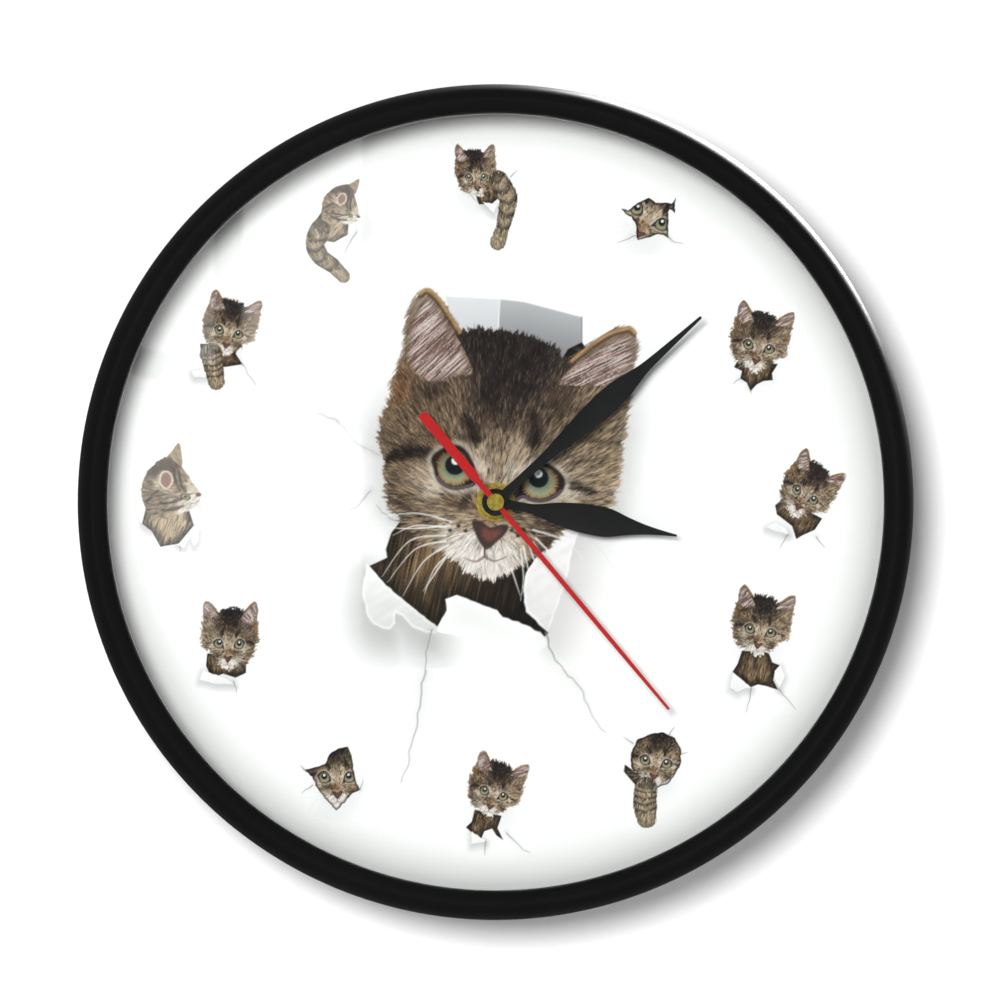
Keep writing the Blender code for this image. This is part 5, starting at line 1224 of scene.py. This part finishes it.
def makeScrews():
    low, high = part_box("rear_screw_2")
    rearScrews = [f"rear_screw_{number}" for number in range(1, 7)]
    values = dict(Count=6, Radius=(low.z + high.z) / 2, Offset=(0.0, high.y, 0.0), Start=math.radians(30.0),
                  Wobble=6.0, Seed=3, Finish=looks["zincSteel"])
    repeatRound("rearScrews", screwMesh("rearScrew", screwSizes), values, "case", "steel", *rearScrews)
    low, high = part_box("hanger_screw_2")
    side, height = (low.x + high.x) / 2, (low.z + high.z) / 2
    unit = screwMesh("hangerScrew", hangerSizes)
    work = bmesh.new()
    for x, turn in ((-side, 0.5), (side, 1.9)):
        before = len(work.verts)
        work.from_mesh(unit)
        added = work.verts[before:]
        bmesh.ops.rotate(work, verts=added, cent=(0.0, 0.0, 0.0), matrix=Matrix.Rotation(turn, 3, "Y"))
        bmesh.ops.translate(work, verts=added, vec=(x, high.y, height))
    addPiece("hangerScrews", meshFrom("hangerScrews", work), "zincSteel", "case", "steel", "hanger_screw_1",
             "hanger_screw_2")


makeScrews()


def barMesh(name, wide, deep, tall, edge):
    # a rounded bar, wide along X, deep along Y, tall along Z, standing on its middle
    work = bmesh.new()
    bmesh.ops.create_cube(work, size=1.0)
    bmesh.ops.scale(work, vec=(wide, deep, tall), verts=work.verts[:])
    bmesh.ops.bevel(work, geom=work.edges[:], offset=edge, segments=2, profile=0.6, affect="EDGES")
    return meshFrom(name, work)


knob = dict(core=5.55 * mm, ribs=20, ribWide=0.9 * mm)
coverRibs = dict(count=12, inner=44 * mm, outer=134 * mm, wide=1.6 * mm, tall=0.5 * mm)


def makeKnob():
    low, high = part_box("setting_knob")
    centre = ((low.x + high.x) / 2, (low.z + high.z) / 2)
    radius = (high.x - low.x) / 2
    core = knob["core"]
    profile = [(0.0, low.y), (core - 0.3 * mm, low.y), (core, low.y + 0.3 * mm), (core, high.y - 0.5 * mm),
               (core - 0.5 * mm, high.y), (3.2 * mm, high.y), (2.6 * mm, high.y - 0.5 * mm),
               (0.0, high.y - 0.5 * mm)]
    addPiece("settingKnob", turnedMesh("settingKnob", profile, 80, centre), "knobGrey", "setting",
             "knob_grey", "setting_knob")
    tall = high.y - low.y - 0.5 * mm
    rib = barMesh("knobRib", (radius - core) * 2, tall, knob["ribWide"], 0.2 * mm)
    values = dict(Count=knob["ribs"], Radius=core, Offset=(centre[0], (low.y + high.y) / 2, centre[1]),
                  Start=0.0, Wobble=0.0, Seed=1, Finish=looks["knobGrey"])
    repeatRound("knobRibs", rib, values, "setting", "knob_grey", "setting_knob")


def makeCoverRibs():
    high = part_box("rear_cover")[1]
    length = coverRibs["outer"] - coverRibs["inner"]
    bar = barMesh("coverRib", length, coverRibs["tall"], coverRibs["wide"], 0.2 * mm)
    values = dict(Count=coverRibs["count"], Radius=(coverRibs["inner"] + coverRibs["outer"]) / 2,
                  Offset=(0.0, high.y + coverRibs["tall"] * 0.5 - 0.05 * mm, 0.0), Start=math.radians(15.0),
                  Wobble=0.0, Seed=2, Finish=looks["coverBlack"])
    repeatRound("coverRibs", bar, values, "case", "cover_black")
    for name, radius in (("coverRingOuter", coverRibs["outer"]), ("coverRingInner", coverRibs["inner"])):
        half, edge = coverRibs["wide"] / 2, 0.15 * mm
        foot, top = high.y - 0.05 * mm, high.y + coverRibs["tall"]
        inner, outer = radius - half, radius + half
        profile = [(inner, foot), (inner, top - edge), (inner + edge, top), (outer - edge, top),
                   (outer, top - edge),
                   (outer, foot)]
        addPiece(name, turnedMesh(name, profile, 180), "coverBlack", "case", "cover_black")


makeKnob()
makeCoverRibs()
print("screws, knob and ribs made")


# the battery: a jacket in two colours between two metal ends
cell = dict(nubRadius=2.6 * mm, nub=1.2 * mm, end=0.7 * mm, band=11.0 * mm, edge=0.5 * mm)


def makeBattery():
    low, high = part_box("battery_cell")
    radius, middleY, middleZ = (high.z - low.z) / 2, (low.y + high.y) / 2, (low.z + high.z) / 2
    shoulder = high.x - cell["nub"]
    bandStart = shoulder - cell["band"]
    edge, lip = cell["edge"], radius - 1.1 * mm
    end, nub, inset = cell["end"], cell["nubRadius"], 0.3 * mm
    stretches = [
        ("cellMinusEnd", "zincSteel", [
            (0.0, low.x), (radius - 1.4 * mm, low.x), (lip, low.x + 0.2 * mm), (lip, low.x + end),
                                       (0.0, low.x + end)]),
        ("cellJacket", "cellJacket", [
            (0.0, low.x + end), (lip, low.x + end), (lip, low.x + inset), (radius - edge, low.x + inset),
            (radius, low.x + inset + edge), (radius, bandStart), (0.0, bandStart)]),
        ("cellBand", "cellBand", [
            (0.0, bandStart), (radius, bandStart), (radius, shoulder - inset - edge),
            (radius - edge, shoulder - inset), (lip, shoulder - inset), (lip, shoulder - end),
                                  (0.0, shoulder - end)]),
        ("cellPlusEnd", "zincSteel", [
            (0.0, shoulder - end), (lip, shoulder - end), (lip, shoulder - 0.1 * mm), (nub + inset, shoulder),
            (nub, shoulder + inset), (nub, high.x - 0.25 * mm), (nub - 0.25 * mm, high.x), (0.0, high.x)])]
    for name, look, profile in stretches:
        mesh = turnedMesh(name, profile, 72)
        for vertex in mesh.vertices:
            x, along, z = vertex.co
            vertex.co = (along, middleY + z, middleZ + x)
        addPiece(name, mesh, look, "battery", "cell_jacket", "battery_cell")


makeBattery()
print("battery made")


# the remaining pieces keep their CAD shape and get their finish
nodeLooks = dict(
    fibreboard=["backing_board"], coverBlack=["rear_cover", "retaining_ring"],
    movementBlack=["movement_case", "movement_cover", "wheel_bridge"],
    rolledSteel=["hanger_plate", "stator", "coil_core", "contact_positive", "contact_negative"],
    zincSteel=["bridge_screw_1", "bridge_screw_2", "quartz_crystal", "rotor_pinion", "second_arbor"],
    brass=["threaded_bushing", "centre_wheel", "minute_pipe", "setting_stem"],
    whitePlastic=["coil_bobbin", "fifth_wheel", "third_wheel", "second_wheel", "minute_wheel", "hour_wheel"],
    rubber=["rubber_washer"], copperWire=["coil_winding"], circuitGreen=["circuit_board"],
    chipBlack=["control_chip"], magnetBlack=["rotor_magnet"])
for look, names in nodeLooks.items():
    for name in names:
        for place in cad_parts[name].material_slots:
            place.material = looks[look]


# metres and tones
room = dict(wall=3.0, floorDrop=1.2, wallGap=0.0001, cameraAway=3.0, aside=0.00158, above=0.00075, lens=299.8,
            sensor=36.0, wallTone=(0.89, 0.89, 0.89), floorTone=(0.82, 0.81, 0.80))


def stagePlane(name, corners, colour, seenFromFrontOnly):
    mesh = bpy.data.meshes.new(name)
    mesh.from_pydata(corners, [], [tuple(range(len(corners)))])
    material, tree, shader = newMaterial(name)
    tone = useGrain(tree, 0.004, 0.6)["Patch"]
    base = mixColours(tree, tone, colour, tuple(part * 0.985 for part in colour))
    feed(tree, shader, {"Base Color": base, "Roughness": 0.9, "Specular IOR Level": 0.1})
    if seenFromFrontOnly:
        path, side = addNode(tree, "ShaderNodeLightPath"), addNode(tree, "ShaderNodeNewGeometry")
        front = compute(tree, "SUBTRACT", path.outputs["Is Camera Ray"], side.outputs["Backfacing"],
                        clamped=True)
        mixShaders(tree, front, addNode(tree, "ShaderNodeBsdfTransparent"), shader)
    mesh.materials.append(material)
    plane = inScene(name, mesh)
    return plane


def makeRoom():
    wallY = cadBox[1][1] + room["wallGap"]
    half, bottom = room["wall"], -room["floorDrop"]
    upright = [(-half, wallY, bottom), (half, wallY, bottom), (half, wallY, half), (-half, wallY, half)]
    stagePlane("wall", upright, room["wallTone"], True)
    near = -half * 1.4
    level = [(-half, near, bottom), (half, near, bottom), (half, half, bottom), (-half, half, bottom)]
    stagePlane("floor", level, room["floorTone"], False).visible_glossy = False


# the studio window, by where its panes show on the glass, in millimetres; its rows slope down to the right
window = dict(columns=[(-140.0, -100.9), (-90.5, -47.9)], rows=[(160.0, 22.5), (11.7, -70.0)],
              slope=-0.262, fadeFrom=-8.0, fadeTo=-62.0, away=3.2, brightness=2.8)


def makeWindow():
    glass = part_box("glass_lens")[0].y
    camera = Vector((room["aside"], -room["cameraAway"], room["above"]))
    share = window["away"] / (glass - camera.y)

    def mirrored(x, z):
        x, z = x * mm, z * mm
        return x + (x - camera.x) * share, glass - window["away"], z + (z - camera.z) * share

    corners, faces = [], []
    for left, right in window["columns"]:
        for top, bottom in window["rows"]:
            lean = window["slope"]
            topLean = 0.0 if top == window["rows"][0][0] else lean
            bottomLean = 0.0 if bottom == window["rows"][-1][1] else lean
            faces.append(tuple(range(len(corners), len(corners) + 4)))
            corners += [mirrored(left, bottom + bottomLean * left), mirrored(left, top + topLean * left),
                        mirrored(right, top + topLean * right), mirrored(right, bottom + bottomLean * right)]
    mesh = bpy.data.meshes.new("window")
    mesh.from_pydata(corners, [], faces)
    material, tree, shader = newMaterial("windowLight")
    tree.nodes.remove(shader)
    height = addNode(tree, "ShaderNodeSeparateXYZ", {"Vector": objectPlace(tree)}).outputs["Z"]
    fadeTo, fadeFrom = (mirrored(0.0, window[end])[2] for end in ("fadeTo", "fadeFrom"))
    strength = mapRange(tree, height, fadeTo, fadeFrom, 0.0, window["brightness"],
                        interpolation_type="SMOOTHSTEP")
    glow = addNode(tree, "ShaderNodeEmission", {"Strength": strength})
    feed(tree, tree.nodes["Material Output"], {"Surface": glow.outputs["Emission"]})
    mesh.materials.append(material)
    panes = inScene("window", mesh)
    panes.visible_camera = panes.visible_diffuse = panes.visible_transmission = panes.visible_shadow = False


# each area light aims at the clock: place and size in metres, power in watts
lamps = dict(
    key=dict(place=(-0.62, -3.0, 0.62), size=1.2, power=110.0, shape="DISK"),
    fill=dict(place=(0.9, -3.4, -0.5), size=3.0, power=8.5, shape="RECTANGLE"),
    rearFill=dict(place=(1.2, 2.6, 1.6), size=1.6, power=150.0, shape="RECTANGLE"))


def makeLights():
    for name, lamp in lamps.items():
        data = bpy.data.lights.new(name, "AREA")
        data.shape, data.energy = lamp["shape"], lamp["power"]
        data.size = data.size_y = lamp["size"]
        light = inScene(name, data)
        light.location = lamp["place"]
        light.rotation_euler = (-Vector(lamp["place"])).to_track_quat("-Z", "Y").to_euler()
        light.visible_camera = False
        # the front lights don't show in the glass; the window does
        if name != "rearFill":
            light.visible_glossy = light.visible_transmission = False


def makeWorld():
    world = bpy.data.worlds.new("studio")
    bpy.context.scene.world = world
    world.use_nodes = True
    tree = world.node_tree
    light = tree.nodes["Background"]
    feed(tree, light, {"Color": (0.95, 0.97, 1.0, 1.0), "Strength": 0.1})
    seen = addNode(tree, "ShaderNodeBackground", {"Color": (0.86, 0.86, 0.86, 1.0)})
    mixShaders(tree, addNode(tree, "ShaderNodeLightPath").outputs["Is Camera Ray"], light, seen,
               "World Output")


def makeCamera():
    data = bpy.data.cameras.new("camera")
    data.sensor_width, data.lens = room["sensor"], room["lens"]
    camera = inScene("camera", data)
    camera.location = (room["aside"], -room["cameraAway"], room["above"])
    camera.rotation_euler = (math.pi / 2, 0.0, 0.0)
    bpy.context.scene.camera = camera


makeRoom()
makeWindow()
makeLights()
makeWorld()
makeCamera()
bpy.context.scene.view_settings.view_transform = "Standard"
print("room, lights and camera made")
